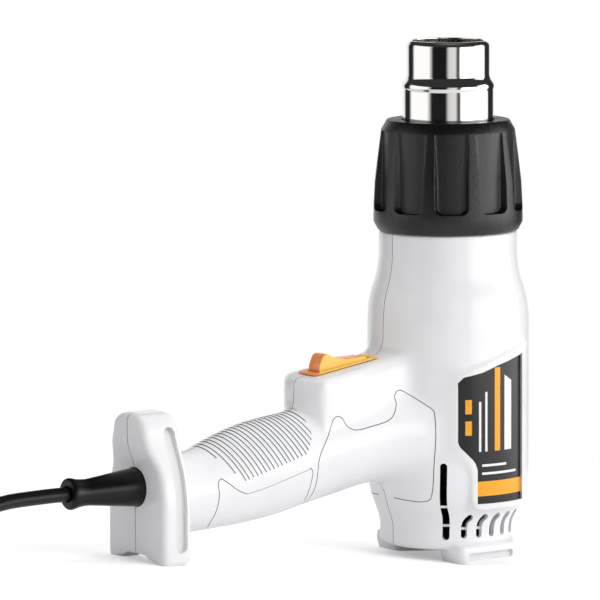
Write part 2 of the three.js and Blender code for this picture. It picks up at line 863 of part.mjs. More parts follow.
// Rubber sleeve round the cord where it leaves the end plate
function sleeveGeometry(extra) {
  const back = plateBack;
  const mouth = back - sleeveLength;
  const front = plateFront + wall;
  const grow = extra;
  const profile = [
    [0, -front - grow],
    [sleeveFlangeRadius + grow, -front - grow],
    [sleeveFlangeRadius + grow, -front + sleeveFlangeThickness + grow],
    [sleeveRearRadius + grow, -front + sleeveFlangeThickness + grow],
    [sleeveRearRadius + grow, -back + 2],
    [sleeveMouthRadius + grow, -mouth - lipLength],
    [lipRadius + grow, -mouth - 1],
    [lipRadius - 0.4 + grow, -mouth],
    [0, -mouth],
  ];
  const geometry = turned(profile, 32);
  return geometry.rotateY(-Math.PI / 2).translate(0, 0, cordHeight);
}

function tailGeometry() {
  const start = plateFront + wall + 2 * seatGap;
  const body = rod(cordDiameter / 2, tailLength, 16).rotateY(Math.PI / 2);
  return body.translate(start + tailLength / 2, 0, cordHeight);
}

function clampBody() {
  const tall = clampScrewPlaces[0][1] - clampScrewPlaces[1][1] + 2 * screwHeadRadius + 1;
  const bar = block(clampWidth, clampThickness, tall);
  const body = solid(at(bar, -clampReach, -clampSeat - clampThickness / 2 + 0.3, cordHeight));
  const saddle = rod(cordDiameter / 2 + seatGap, 3 * clampWidth, 16).rotateY(Math.PI / 2);
  const holes = clampScrewPlaces.map(([x, z]) => solid(at(rodAlongY(screwRadius + 0.3, 40, 12), x, 0, z)));
  return without(body, [solid(at(saddle, -clampReach, 0, cordHeight)), ...holes]);
}

function screwBody(length) {
  return turned([
    [0, -length],
    [screwRadius, -length],
    [screwRadius, 0],
    [screwHeadRadius, 0],
    [screwHeadRadius * 0.8, screwHeadHeight],
    [0, screwHeadHeight],
  ], 10);
}

// Sticker: a thin curved sheet lying on the barrel
function labelBody() {
  const start = barrelRadius + pressGap;
  const sheet = solid(ring(start + labelThickness, start, labelLow, labelHigh, 96));
  const outline = polygon([
    [-labelLeft, labelLow + labelShoulder],
    [-labelFoot, labelLow + labelStep],
    [-labelFoot, labelLow],
    [labelRight, labelLow],
    [labelRight, labelHigh],
    [0, labelHigh - labelTopDrop],
    [-labelFoot, labelHigh - 2 * labelTopDrop],
    [-labelLeft, labelHigh - labelSideDrop],
  ]);
  const window = plateInXZ(outline, 60).translate(0, -30, 0);
  return sheet.intersect(solid(window));
}

// Meshes
function piece(name, geometry, material) {
  const mesh = new THREE.Mesh(geometry, material);
  mesh.name = name;
  return mesh;
}

function cut(name, body, material) {
  return piece(name, geometryOf(body), material);
}

const tool = new THREE.Group();
tool.add(cut('housing_left', casingHalf(-1), whitePlastic));
tool.add(cut('housing_right', casingHalf(1), whitePlastic));
tool.add(cut('nozzle_collar', collarBody(), blackPlastic));
tool.add(piece('outlet_nozzle', outletBody(), polishedSteel));
tool.add(cut('outlet_guard', guardBody(), zincSteel));
tool.add(piece('mica_tube', ring(micaRadius, micaRadius - micaWall, sleeveStart, sleeveEnd), mica));
tool.add(cut('heater_base', heaterBaseBody(), ceramic));
tool.add(cut('heater_former', formerBody(), mica));
tool.add(piece('heater_coil', tube(new Helix(), wireDiameter / 2, 4, coilTurns * 12), wireMetal));

const cutoutDisc = at(rod(cutoutRadius, cutoutThickness), 0, 0, heaterFoot - seatGap - cutoutThickness / 2);
tool.add(piece('thermal_cutout', cutoutDisc, zincSteel));
tool.add(piece('motor', motorBody(), zincSteel));
const shaftLength = fanToMotor + fanHeight + 14;
tool.add(piece('motor_shaft', at(rod(shaftRadius, shaftLength, 16), 0, 0, fanStart + 1 + shaftLength / 2), zincSteel));
tool.add(cut('fan', fanBody(), innerPlastic));
tool.add(cut('motor_mount', mountBody(), innerPlastic));
const boardMiddle = motorEnd + seatGap + boardThickness / 2;
tool.add(piece('rectifier_board', at(rod(motorRadius - 1, boardThickness, 32), 0, 0, boardMiddle), boardGreen));

tool.add(piece('strain_relief', sleeveGeometry(0), rubber));
tool.add(piece('cord_tail', tailGeometry(), rubber));
tool.add(cut('cord_clamp', clampBody(), innerPlastic));
tool.add(cut('side_label', labelBody(), labelFilm));

const switchGroup = new THREE.Group();
switchGroup.position.set(-switchReach, 0, switchBase);
switchGroup.rotation.y = -slope;
switchGroup.add(cut('switch_bezel', bezelBody(), amberPlastic));
switchGroup.add(cut('switch_body', switchCase(), blackPlastic));
switchGroup.add(piece('switch_rocker', rockerBody(), amberPlastic));
tool.add(switchGroup);

function addScrew(name, [x, z], seat, length) {
  const screw = piece(name, screwBody(length), zincSteel);
  screw.rotation.x = seat > 0 ? -Math.PI / 2 : Math.PI / 2;
  screw.position.set(x, seat, z);
  tool.add(screw);
}
screwPlaces.forEach((place, i) => addScrew(`housing_screw_${i + 1}`, place, screwSeat + pressGap, screwLength));
const clampFace = -clampSeat - clampThickness + 0.3 - pressGap;
clampScrewPlaces.forEach((place, i) => addScrew(`clamp_screw_${i + 1}`, place, clampFace, clampScrewLength));

// Leads inside the grip: points in the tool's own frame
function addLead(name, points, material) {
  const curve = new THREE.CatmullRomCurve3(points.map(([x, y, z]) => new THREE.Vector3(x, y, z)));
  tool.add(piece(name, tube(curve, leadDiameter / 2, 6, 14), material));
}
const tailEnd = plateFront + wall + 2 * seatGap + tailLength + seatGap;

// A point on a lead under the switch case, by its place along the case and its drop below it
function underCase(along, y, drop) {
  const deep = switchDepth + seatGap + drop;
  const x = -switchReach + along * Math.cos(slope) + deep * Math.sin(slope);
  return [x, y, switchBase + along * Math.sin(slope) - deep * Math.cos(slope)];
}
addLead('live_lead', [
  [tailEnd, leadDiameter * 0.6, cordHeight],
  [tailEnd + leadStep, leadSide, cordHeight + 1],
  underCase(-leadStep, leadSide, leadDrop),
  underCase(-leadStep, leadSide, 0),
], brownInsulation);
addLead('neutral_lead', [
  [tailEnd, -leadDiameter * 0.6, cordHeight],
  [tailEnd + 1.4 * leadStep, -leadSide, cordHeight],
  [-switchReach, -2 * leadSide, cordHeight + 0.5 * leadStep],
  underCase(1.2 * leadStep, -2 * leadSide, leadStep),
  [-motorRadius - motorSide, -2 * leadSide, motorEnd - motorSide],
  [-1.2 * leadStep, -2 * leadSide, heaterFoot - leadSide],
], blueInsulation);
addLead('heater_lead', [
  underCase(leadStep, leadSide, 0),
  underCase(leadStep, leadSide, leadSide),
  [-motorRadius - motorSide, 2 * leadSide, motorEnd - motorSide],
  [-1.2 * leadStep, 2 * leadSide, heaterFoot - leadSide],
], brownInsulation);

const standing = new THREE.Group();
tool.rotation.y = -THREE.MathUtils.degToRad(lean);
standing.add(tool);
standing.updateMatrixWorld(true);
const extent = new THREE.Box3();
tool.traverse((mesh) => {
  if (mesh.isMesh && mesh.name !== 'strain_relief') {
    extent.expandByObject(mesh, true);
  }
});

// Cord, coil and plug lie on the table beside the tool, so they are placed in the standing frame
const shift = -(extent.min.x + extent.max.x) / 2;
tool.position.x = shift;
standing.updateMatrixWorld(true);
const cordRadius = cordDiameter / 2;
const tableGap = 0.03;
const mouth = tool.localToWorld(new THREE.Vector3(plateBack - sleeveLength - seatGap, 0, cordHeight));
const ahead = tool.localToWorld(new THREE.Vector3(plateBack - sleeveLength - 12, 0, cordHeight));
const coilLow = cordRadius + tableGap;
const layerLoops = coilLoops / coilLayers;
const coilOuter = coilInnerRadius + coilPitch * Math.hypot(layerLoops, coilBend);
const coilTop = coilLow + (coilLayers - 1) * coilPitch + cordRadius;
const plugAxis = coilTop + plugHeight / 2 + seatGap;

// Loops in four layers that run inwards and outwards in turn, then a bend over them to the plug on top
class PiledLoops extends THREE.Curve {
  constructor() {
    super();
    this.arcLengthDivisions = 4000;
  }

  // How many pitches the middle line stands out from the innermost loop
  pitchesOut(turn) {
    const fromInner = Math.abs((turn / layerLoops) % 2 - 1) * layerLoops;
    if (fromInner < layerLoops / 2 || turn < layerLoops) {
      return Math.hypot(fromInner, coilBend);
    }
    const joint = 2 * Math.hypot(layerLoops / 2, coilBend) - Math.hypot(layerLoops - fromInner, coilBend);
    return joint;
  }

  getPoint(t, target = new THREE.Vector3()) {
    const round = 2 * Math.PI * coilOuter;
    const bend = plugBend * Math.PI / 2;
    const along = t * (coilTail + coilLoops * round + bend) - coilTail;
    const turn = THREE.MathUtils.clamp(along / round, 0, coilLoops);
    const radius = coilInnerRadius + coilPitch * this.pitchesOut(turn);
    const angle = -Math.PI / 2 - turn * 2 * Math.PI;
    target.set(coilCentre.x + radius * Math.cos(angle), coilCentre.y + radius * Math.sin(angle), coilLow);
    for (let layer = 1; layer < coilLayers; layer++) {
      target.z += coilPitch * THREE.MathUtils.smoothstep(turn - layer * layerLoops, -0.25, 0.25);
    }
    const before = Math.min(along, 0);
    target.x -= before;
    target.y += before * coilPitch / round;
    const over = along - coilLoops * round;
    const bent = Math.max(over, 0) / plugBend;
    target.x += plugBend * (Math.cos(bent) - 1);
    target.y -= plugBend * Math.sin(bent);
    target.z += (plugAxis - coilTop + cordRadius) * THREE.MathUtils.smoothstep(over, -plugClimb, bend);
    return target;
  }
}

const loops = new PiledLoops();
const loopSteps = Math.round(21 * (coilLoops + 0.3));

// Least gap between the coil and itself, on points along its middle line
function leastGap(curve, samples) {
  const points = curve.getSpacedPoints(samples);
  const spacing = curve.getLength() / samples;
  const skip = Math.ceil(3 * cordDiameter / spacing);
  let least = Infinity;
  for (let i = 0; i < points.length; i++) {
    for (let j = i + skip; j < points.length; j++) {
      least = Math.min(least, points[i].distanceTo(points[j]));
    }
  }
  return least - cordDiameter;
}
console.log('coil gap to itself', leastGap(loops, 1200).toFixed(2), 'mm');
console.log('coil length', loops.getLength().toFixed(0), 'mm');

const coilStart = loops.getPoint(0);
const coilEnd = loops.getPoint(1);
const cordRoute = new THREE.CatmullRomCurve3([
  mouth,
  ahead,
  new THREE.Vector3(-159.2, -0.3, 23.3),
  new THREE.Vector3(-168, -0.9, 19.6),
  new THREE.Vector3(-176, -2, 14.2),
  new THREE.Vector3(-185, -3.6, 8.1),
  new THREE.Vector3(-194.5, -5.2, 4.6),
  coilStart.clone().add(new THREE.Vector3(9, -0.2, 0.12)),
  coilStart.clone().add(new THREE.Vector3(seatGap, 0, 0)),
], false, 'centripetal');
standing.add(piece('cord', tube(cordRoute, cordRadius, 10, 24), rubber));
standing.add(piece('cord_coil', tube(loops, cordRadius, 6, loopSteps), rubber));

// Plug, lying on the coil with its pins away from the tool
const plugStart = coilEnd.x - seatGap;
const pinStart = plugStart - plugSleeveLength - plugLength;
function plugGeometry() {
  const half = plugWidth / 2;
  const tall = plugHeight / 2;
  const bevel = 6;
  const outline = polygon([
    [-half + bevel, -tall], [half - bevel, -tall], [half, -tall + bevel],
    [half, tall - bevel], [half - bevel, tall], [-half + bevel, tall],
    [-half, tall - bevel], [-half, -tall + bevel],
  ]);
  const body = solid(plateInYZ(outline, plugSleeveLength, plugLength));
  const sleeve = turned([
    [0, 0], [cordRadius + 1, 0], [plugSleeveRadius, 4],
    [plugSleeveRadius + 2, plugSleeveLength + 1], [0, plugSleeveLength + 1],
  ], 20);
  sleeve.rotateY(Math.PI / 2);
  const sockets = [-1, 1].map((side) => {
    const hole = rod(pinRadius + pressGap, 12, 16).rotateY(Math.PI / 2);
    return solid(hole.translate(plugSleeveLength + plugLength, side * pinSpacing / 2, 0));
  });
  return geometryOf(without(body.add(solid(sleeve)), sockets)).rotateZ(Math.PI);
}
const plugMesh = piece('plug_body', plugGeometry(), rubber);
plugMesh.position.set(plugStart, coilEnd.y, plugAxis);
standing.add(plugMesh);
[-1, 1].forEach((side, i) => {
  const pin = piece(`plug_pin_${i + 1}`, rod(pinRadius, pinLength + 5, 16).rotateY(Math.PI / 2), zincSteel);
  pin.position.set(pinStart - (pinLength - 5) / 2, coilEnd.y + side * pinSpacing / 2, plugAxis);
  standing.add(pin);
});

export default standing;
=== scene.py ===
import math
import bmesh
import bpy
from mathutils import Matrix, Vector
from mathutils.bvhtree import BVHTree


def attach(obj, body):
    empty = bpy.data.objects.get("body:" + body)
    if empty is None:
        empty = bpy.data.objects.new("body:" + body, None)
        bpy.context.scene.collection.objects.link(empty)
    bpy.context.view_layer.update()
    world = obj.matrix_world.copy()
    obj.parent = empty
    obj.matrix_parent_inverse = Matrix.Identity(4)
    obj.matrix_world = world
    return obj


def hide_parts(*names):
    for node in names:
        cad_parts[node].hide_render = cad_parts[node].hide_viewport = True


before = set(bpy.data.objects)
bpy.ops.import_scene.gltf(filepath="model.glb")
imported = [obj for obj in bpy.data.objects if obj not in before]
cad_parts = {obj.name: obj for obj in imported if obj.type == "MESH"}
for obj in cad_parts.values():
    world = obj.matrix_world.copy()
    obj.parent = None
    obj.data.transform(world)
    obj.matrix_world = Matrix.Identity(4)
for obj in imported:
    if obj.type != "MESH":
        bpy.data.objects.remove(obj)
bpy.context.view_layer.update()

for spare in ("Cube", "Light", "Camera"):  # Blender's own starting objects
    if spare in bpy.data.objects:
        bpy.data.objects.remove(bpy.data.objects[spare])

# Pieces are modelled in millimetres with Z up the barrel's axis, then stood on the table
tableStance = {"lean": 5, "shift": 68.186}
toolToTable = (Matrix.Translation((tableStance["shift"] / 1000, 0, 0))
               @ Matrix.Rotation(math.radians(-tableStance["lean"]), 4, "Y")
               @ Matrix.Scale(0.001, 4))


def onTable(x, y, z):
    return toolToTable @ Vector((x, y, z))


# Small helpers


def toLinear(hexColour):
    channels = [int(hexColour[i:i + 2], 16) / 255 for i in (1, 3, 5)]
    return tuple(c / 12.92 if c <= 0.04045 else ((c + 0.055) / 1.055) ** 2.4 for c in channels) + (1,)


def addNode(tree, kind, inputs=None, **settings):
    node = tree.nodes.new(kind)
    for name, value in settings.items():
        setattr(node, name, value)
    for socket, value in (inputs or {}).items():
        if isinstance(value, bpy.types.NodeSocket):
            tree.links.new(value, node.inputs[socket])
        else:
            node.inputs[socket].default_value = value
    return node


def setRamp(node, stops):
    ramp = node.color_ramp
    while len(ramp.elements) < len(stops):
        ramp.elements.new(0.5)
    for element, (position, value) in zip(ramp.elements, stops):
        element.position = position
        element.color = value if isinstance(value, tuple) else (value, value, value, 1)


def makeMaterial(name, colours, roughness, mottling, grain=None, surface=None, stops=(0.3, 0.7),
                 stretch=None):
    # mottling, (how many per metre, detail), runs between two colours and two roughnesses; one alone is even
    # grain, (how many per metre, detail, strength, depth in metres), makes the bump; stretch is for both
    material = bpy.data.materials.new(name)
    material.use_nodes = True
    tree = material.node_tree
    tree.nodes.clear()
    shader = addNode(tree, "ShaderNodeBsdfPrincipled", {
        "Base Color": toLinear(colours[0]), "Roughness": roughness[0], **(surface or {})})
    addNode(tree, "ShaderNodeOutputMaterial", {"Surface": shader.outputs["BSDF"]})
    place = addNode(tree, "ShaderNodeTexCoord").outputs["Object"]
    if stretch:
        place = addNode(tree, "ShaderNodeMapping", {"Vector": place, "Scale": stretch}).outputs["Vector"]
    cloud = addNode(tree, "ShaderNodeTexNoise", {
        "Vector": place, "Scale": mottling[0], "Detail": mottling[1]}).outputs["Fac"]
    if len(colours) > 1:
        shade = addNode(tree, "ShaderNodeValToRGB", {"Fac": cloud})
        setRamp(shade, [(stop, toLinear(colour)) for stop, colour in zip(stops, colours)])
        tree.links.new(shade.outputs["Color"], shader.inputs["Base Color"])
    if len(roughness) > 1:
        rough = addNode(tree, "ShaderNodeMapRange", {
            "Value": cloud, "To Min": roughness[0], "To Max": roughness[1]})
        tree.links.new(rough.outputs["Result"], shader.inputs["Roughness"])
    if grain:
        scale, detail, strength, depth = grain
        fine = addNode(tree, "ShaderNodeTexNoise", {"Vector": place, "Scale": scale, "Detail": detail})
        bump = addNode(tree, "ShaderNodeBump", {
            "Height": fine.outputs["Fac"], "Strength": strength, "Distance": depth})
        tree.links.new(bump.outputs["Normal"], shader.inputs["Normal"])
    return material


def newObject(name, bm, materials=()):
    bmesh.ops.recalc_face_normals(bm, faces=bm.faces)
    mesh = bpy.data.meshes.new(name)
    bm.to_mesh(mesh)
    bm.free()
    for material in materials:
        mesh.materials.append(material)
    obj = bpy.data.objects.new(name, mesh)
    bpy.context.scene.collection.objects.link(obj)
    return obj


def discard(obj):
    mesh = obj.data
    bpy.data.objects.remove(obj)
    bpy.data.meshes.remove(mesh)


def takenFrom(obj):
    bm = bmesh.new()
    bm.from_mesh(obj.data)
    discard(obj)
    return bm


def modified(obj, kind, **settings):
    modifier = obj.modifiers.new(kind.title(), kind)
    for name, value in settings.items():
        setattr(modifier, name, value)
    depsgraph = bpy.context.evaluated_depsgraph_get()
    done = bpy.data.meshes.new_from_object(obj.evaluated_get(depsgraph))
    before = obj.data
    obj.modifiers.clear()
    obj.data = done
    bpy.data.meshes.remove(before)
    return obj


def combined(obj, other, operation="DIFFERENCE", solver="MANIFOLD"):
    modified(obj, "BOOLEAN", object=other, operation=operation, solver=solver)
    discard(other)
    return obj


def softened(obj, width, segments, angle):
    return modified(obj, "BEVEL", width=width, segments=segments, limit_method="ANGLE",
                    angle_limit=math.radians(angle))


def triangles(obj):
    return sum(len(face.vertices) - 2 for face in obj.data.polygons)


def finishPiece(obj, body, nodes, sharpAngle=30):
    obj.data.transform(toolToTable)
    obj.data.polygons.foreach_set("use_smooth", [True] * len(obj.data.polygons))
    obj.data.set_sharp_from_angle(angle=math.radians(sharpAngle))
    obj.data.update()
    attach(obj, body)
    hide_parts(*nodes)
    return obj


# Shapes that most pieces start from; a point is (across, up) or (across, up, rounding)


def moved(bm, matrix):
    bmesh.ops.transform(bm, matrix=matrix, verts=bm.verts)
    return bm


def turnedBy(bm, degrees, axis):
    bmesh.ops.rotate(bm, cent=(0, 0, 0), matrix=Matrix.Rotation(math.radians(degrees), 3, axis),
                     verts=bm.verts)
    return bm


def sliced(bm, place, normal, **settings):
    return bmesh.ops.bisect_plane(bm, geom=bm.verts[:] + bm.edges[:] + bm.faces[:], plane_co=place,
                                  plane_no=normal, **settings)


def rounded(bm, edges, offset, segments):
    bmesh.ops.bevel(bm, geom=edges, offset=offset, offset_type="OFFSET", segments=segments, profile=0.5,
                    affect="EDGES", material=-1)


def squareTo(bm, axis):
    # edges square to an axis, which is 0 for x and 2 for z
    return [e for e in bm.edges if abs(e.verts[0].co[axis] - e.verts[1].co[axis]) < 0.01]


def circleRing(bm, sides, radius, matrix):
    made = bmesh.ops.create_circle(bm, segments=sides, radius=radius, matrix=matrix)
    return list({edge for vert in made["verts"] for edge in vert.link_edges})


def bridged(bm, rings):
    for ring, following in zip(rings, rings[1:]):
        bmesh.ops.bridge_loops(bm, edges=ring + following)
    bmesh.ops.holes_fill(bm, edges=rings[0] + rings[-1], sides=0)
    return bm


def wireOf(bm, points, lift, closed):
    verts = [bm.verts.new(lift(point[0], point[1])) for point in points]
    pairs = list(zip(verts, verts[1:])) + ([(verts[-1], verts[0])] if closed else [])
    for pair in pairs:
        bm.edges.new(pair)
    for vert, point in zip(verts, points):
        if len(point) > 2 and point[2] > 0:
            bmesh.ops.bevel(bm, geom=[vert], offset=point[2], offset_type="OFFSET",
                            segments=6, profile=0.5, affect="VERTICES", material=-1)


def spunShape(points, steps=128, closed=False):
    bm = bmesh.new()
    wireOf(bm, points, lambda across, up: (across, 0, up), closed)
    bmesh.ops.spin(bm, geom=bm.verts[:] + bm.edges[:], cent=(0, 0, 0), axis=(0, 0, 1),
                   angle=2 * math.pi, steps=steps, use_merge=True)
    bmesh.ops.remove_doubles(bm, verts=bm.verts, dist=0.002)
    return bm


def slabShape(points, lift, thickness):
    bm = bmesh.new()
    wireOf(bm, points, lift, True)
    face = bmesh.ops.contextual_create(bm, geom=bm.edges[:])["faces"][0]
    grown = bmesh.ops.extrude_face_region(bm, geom=[face])["geom"]
    bmesh.ops.translate(bm, vec=thickness, verts=[v for v in grown if isinstance(v, bmesh.types.BMVert)])
    return bm


def sideSlab(points, low, high):
    # an outline (along, up) as seen from the side, from y = low to y = high
    return slabShape(points, lambda along, up: (along, low, up), (0, high - low, 0))


def endSlab(points, low, high):
    # an outline (across, up) as seen from the end, from x = low to x = high
    return slabShape(points, lambda across, up: (low, across, up), (high - low, 0, 0))


def boxShape(low, high, rounding=0, along=None, segments=5):
    bm = bmesh.new()
    size = [h - l for l, h in zip(low, high)]
    middle = [(h + l) / 2 for l, h in zip(low, high)]
    bmesh.ops.create_cube(bm, size=1, matrix=Matrix.Translation(middle) @ Matrix.Diagonal((*size, 1)))
    if rounding:
        edges = bm.edges[:]
        if along:
            axis = Vector(along)
            edges = [e for e in edges if abs((e.verts[1].co - e.verts[0].co).normalized().dot(axis)) > 0.9]
        rounded(bm, edges, rounding, segments)
    return bm


def loftShape(stations, sides=48):
    bm = bmesh.new()
    rings = []
    for x, low, high, half in stations:
        size = Matrix.Diagonal((1, half, (high - low) / 2, 1))
        place = Matrix.Translation((x, 0, (low + high) / 2)) @ size
        rings.append(circleRing(bm, sides, 1, place @ Matrix.Rotation(math.radians(90), 4, "Y")))
    return bridged(bm, rings)


def merged(shapes):
    whole = bmesh.new()
    for shape in shapes:
        mesh = bpy.data.meshes.new("part")
        shape.to_mesh(mesh)
        shape.free()
        whole.from_mesh(mesh)
        bpy.data.meshes.remove(mesh)
    return whole


def smoothLine(points, steps=8):
    # an even curve through the points, in two or three directions
    spots = [Vector(point) for point in points]
    spots = [spots[0] * 2 - spots[1], *spots, spots[-1] * 2 - spots[-2]]
    line = []
    for a, b, c, d in zip(spots, spots[1:], spots[2:], spots[3:]):
        first = math.sqrt((b - a).length)
        second = first + math.sqrt((c - b).length)
        third = second + math.sqrt((d - c).length)
        for step in range(steps):
            t = first + (second - first) * step / steps
            near, middle = a.lerp(b, t / first), b.lerp(c, (t - first) / (second - first))
            far = c.lerp(d, (t - second) / (third - second))
            start, end = near.lerp(middle, t / second), middle.lerp(far, (t - first) / (third - first))
            line.append(tuple(start.lerp(end, (t - first) / (second - first))))
    return line + [tuple(points[-1])]


# Camera, at the photograph's own angle

view = {"lens": 328.63, "sensor": 36, "clip": (0.1, 60), "place": (-1.33936, -1.83060, 0.26126),
        "right": (0.81168, -0.58019, 0.06745), "up": (-0.01510, 0.09459, 0.99540),
        "forward": (0.58390, 0.80897, -0.06802)}


def makeCamera():
    data = bpy.data.cameras.new("camera")
    data.lens = view["lens"]
    data.sensor_width = view["sensor"]
    data.clip_start, data.clip_end = view["clip"]
    camera = bpy.data.objects.new("camera", data)
    bpy.context.scene.collection.objects.link(camera)
    axes = Matrix((view["right"], view["up"], [-c for c in view["forward"]])).transposed()
    camera.matrix_world = Matrix.Translation(view["place"]) @ axes.to_4x4()
    bpy.context.scene.camera = camera


makeCamera()
print("camera placed")

# PVC sheath, extruded: even, slightly waxy black with a soft sheen and about 1 mm mottling
sheath = makeMaterial("extrudedPvcSheath", ["#111113"], (0.3, 0.42), (900.0, 3.0), (900.0, 3.0, 0.08, 0.0002),
                      {"IOR": 1.53, "Specular IOR Level": 0.35})

# Thermoplastic rubber, moulded: deep black, satin, with a faint bloom over a 0.4 mm spark grain
rubber = makeMaterial("mouldedBlackRubber", ["#0a0a0b", "#0d0d0e"], (0.27, 0.33), (160.0, 5.0),
                      (2600.0, 2.0, 0.05, 0.0002), {"IOR": 1.5, "Specular IOR Level": 0.3})

# Nickel plated steel, turned: bright, with patches of wear
platedSteel = makeMaterial("platedSteel", ["#b9b9bb"], (0.22, 0.42), (700.0, 4.0), surface={"Metallic": 1.0})

# Cord, coil and plug, on the same route as the solids

cord = {"diameter": 6, "exit": onTable(-192.3, 0, 44), "ahead": onTable(-204, 0, 44),
        "way": [(-159.2, -0.3, 23.3), (-168, -0.9, 19.6), (-176, -2, 14.2), (-185, -3.6, 8.1),
                (-194.5, -5.2, 4.6)],
        "coilCentre": (-216, 32), "coilInner": 23.5, "loops": 8.75, "layers": 4, "pitch": 6.8, "bend": 0.1,
        "lead": [(9, -0.2, 0.12), (0.3, 0, 0)], "tail": 4, "climb": 0.25, "low": 3.03, "plugBend": 27,
        "plugClimb": 30, "perLoop": 40}


def eased(value, low, high):
    part = min(max((value - low) / (high - low), 0), 1)
    return part * part * (3 - 2 * part)


def coilPoints(plugAxis):
    layer = cord["loops"] / cord["layers"]
    outer = cord["coilInner"] + cord["pitch"] * math.hypot(layer, cord["bend"])
    around = 2 * math.pi * outer
    bendLength = cord["plugBend"] * math.pi / 2
    length = cord["tail"] + cord["loops"] * around + bendLength
    count = round(length / around * cord["perLoop"])
    points = []
    for i in range(count + 1):
        along = i / count * length - cord["tail"]
        turn = min(max(along / around, 0), cord["loops"])
        fromInner = abs((turn / layer) % 2 - 1) * layer
        out = math.hypot(fromInner, cord["bend"])
        if fromInner > layer / 2 and turn > layer:
            out = 2 * math.hypot(layer / 2, cord["bend"]) - math.hypot(layer - fromInner, cord["bend"])
        radius = cord["coilInner"] + cord["pitch"] * out
        angle = -math.pi / 2 - turn * 2 * math.pi
        z = cord["low"] + sum(cord["pitch"] * eased(turn - k * layer, -cord["climb"], cord["climb"])
                              for k in range(1, cord["layers"]))
        top = cord["low"] + (cord["layers"] - 1) * cord["pitch"]
        z += (plugAxis - top) * eased(along - cord["loops"] * around, -cord["plugClimb"], bendLength)
        before, bent = min(along, 0), max(along - cord["loops"] * around, 0) / cord["plugBend"]
        x = cord["coilCentre"][0] + radius * math.cos(angle) - before
        x += cord["plugBend"] * (math.cos(bent) - 1)
        y = cord["coilCentre"][1] + radius * math.sin(angle) + before * cord["pitch"] / around
        points.append((x, y - cord["plugBend"] * math.sin(bent), z))
    return points


plug = {"length": 36, "width": 35, "height": 26, "corner": 7, "edge": 2.4, "sleeve": 18, "sleeveRadius": 4.6,
        "slits": 4, "firstSlit": 5.5, "slitPitch": 3, "slitWidth": 1.3, "slitHalf": 1.6, "gap": 0.3,
        "pinRadius": 2.4, "pinLength": 19, "pinSpacing": 19, "pinRoot": 5}


def makeCord():
    coilTop = cord["low"] + (cord["layers"] - 1) * cord["pitch"] + cord["diameter"] / 2
    coil = coilPoints(coilTop + plug["height"] / 2 + plug["gap"])
    start = Vector(coil[0])
    way = [tuple(cord["exit"] * 1000), tuple(cord["ahead"] * 1000), *cord["way"],
           *[tuple(start + Vector(step)) for step in cord["lead"]]]
    points = smoothLine(way, 4)[:-1] + coil
    curve = bpy.data.curves.new("mainsCord", "CURVE")
    curve.dimensions = "3D"
    curve.bevel_depth = cord["diameter"] / 2000
    curve.bevel_resolution = 5
    curve.use_fill_caps = True
    spline = curve.splines.new("POLY")
    spline.points.add(len(points) - 1)
    for point, place in zip(spline.points, points):
        point.co = (*[c / 1000 for c in place], 1)
    spline.use_smooth = True
    curve.materials.append(sheath)
    obj = bpy.data.objects.new("mainsCord", curve)
    bpy.context.scene.collection.objects.link(obj)
    length = sum((Vector(b) - Vector(a)).length for a, b in zip(points, points[1:])) / 1000
    print("cord length", round(length, 4))
    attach(obj, "housing")
    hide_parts("cord", "cord_coil")
    return obj, Vector(coil[-1]), length


def alongX(bm, x=0, y=0):
    return moved(bm, Matrix.Translation((x, y, 0)) @ Matrix.Rotation(math.radians(90), 4, "Y"))


def makePlug(end):
    half, tall, face = plug["width"] / 2, plug["height"] / 2, plug["sleeve"] + plug["length"]
    lie = Matrix.Translation(end - Vector((plug["gap"], 0, 0))) @ Matrix.Rotation(math.pi, 4, "Z")
    onCoil = toolToTable.inverted() @ Matrix.Scale(0.001, 4) @ lie
    corners = ((-half, -tall), (half, -tall), (half, tall), (-half, tall))
    shell = endSlab([(x, z, plug["corner"]) for x, z in corners], plug["sleeve"], face)
    rounded(shell, squareTo(shell, 0), plug["edge"], 4)
    body = newObject("plugShell", shell, [rubber])
    neck = spunShape([(0, 0), (cord["diameter"] / 2 + 1, 0, 0.4), (plug["sleeveRadius"], 4, 1.5),
                      (plug["sleeveRadius"] + 2, plug["sleeve"] + 3), (0, plug["sleeve"] + 3)], 48)
    combined(body, newObject("neck", alongX(neck)), "UNION")
    for slit in range(plug["slits"]):
        low = plug["firstSlit"] + slit * plug["slitPitch"]
        slot = boxShape((low, -20, -plug["slitHalf"]), (low + plug["slitWidth"], 20, plug["slitHalf"]))
        combined(body, newObject("slit", slot))
    body.data.transform(onCoil)
    finishPiece(body, "housing", ["plug_body"])
    pieces = [body]
    for i, side in enumerate((-1, 1)):
        length = plug["pinLength"] + plug["pinRoot"]
        shape = spunShape([(0, 0), (plug["pinRadius"], 0), (plug["pinRadius"], length, 1.5), (0, length)], 32)
        shape = alongX(shape, face - plug["pinRoot"], -side * plug["pinSpacing"] / 2)
        pin = newObject(f"plugPin{i + 1}", shape, [platedSteel])
        pin.data.transform(onCoil)
        pieces.append(finishPiece(pin, "housing", [f"plug_pin_{i + 1}"]))
    return pieces


# Tapered sleeve that keeps the cord from kinking where it leaves the grip
sleeve = {"front": -142.4, "back": -159, "length": 33, "height": 44, "rear": 7.9, "neck": 5.1, "lip": 6.6,
          "flange": 10.5, "flangeThickness": 3, "roomFront": 140, "roomStep": 145.7, "throat": 8.2,
          "neckFrom": 6.5, "lipFrom": 2.6, "lipTo": 0.7, "bore": 0.5, "boreDepth": 3, "edge": 0.4}
onSleeve = Matrix.Translation((0, 0, sleeve["height"])) @ Matrix.Rotation(math.radians(-90), 4, "Y")


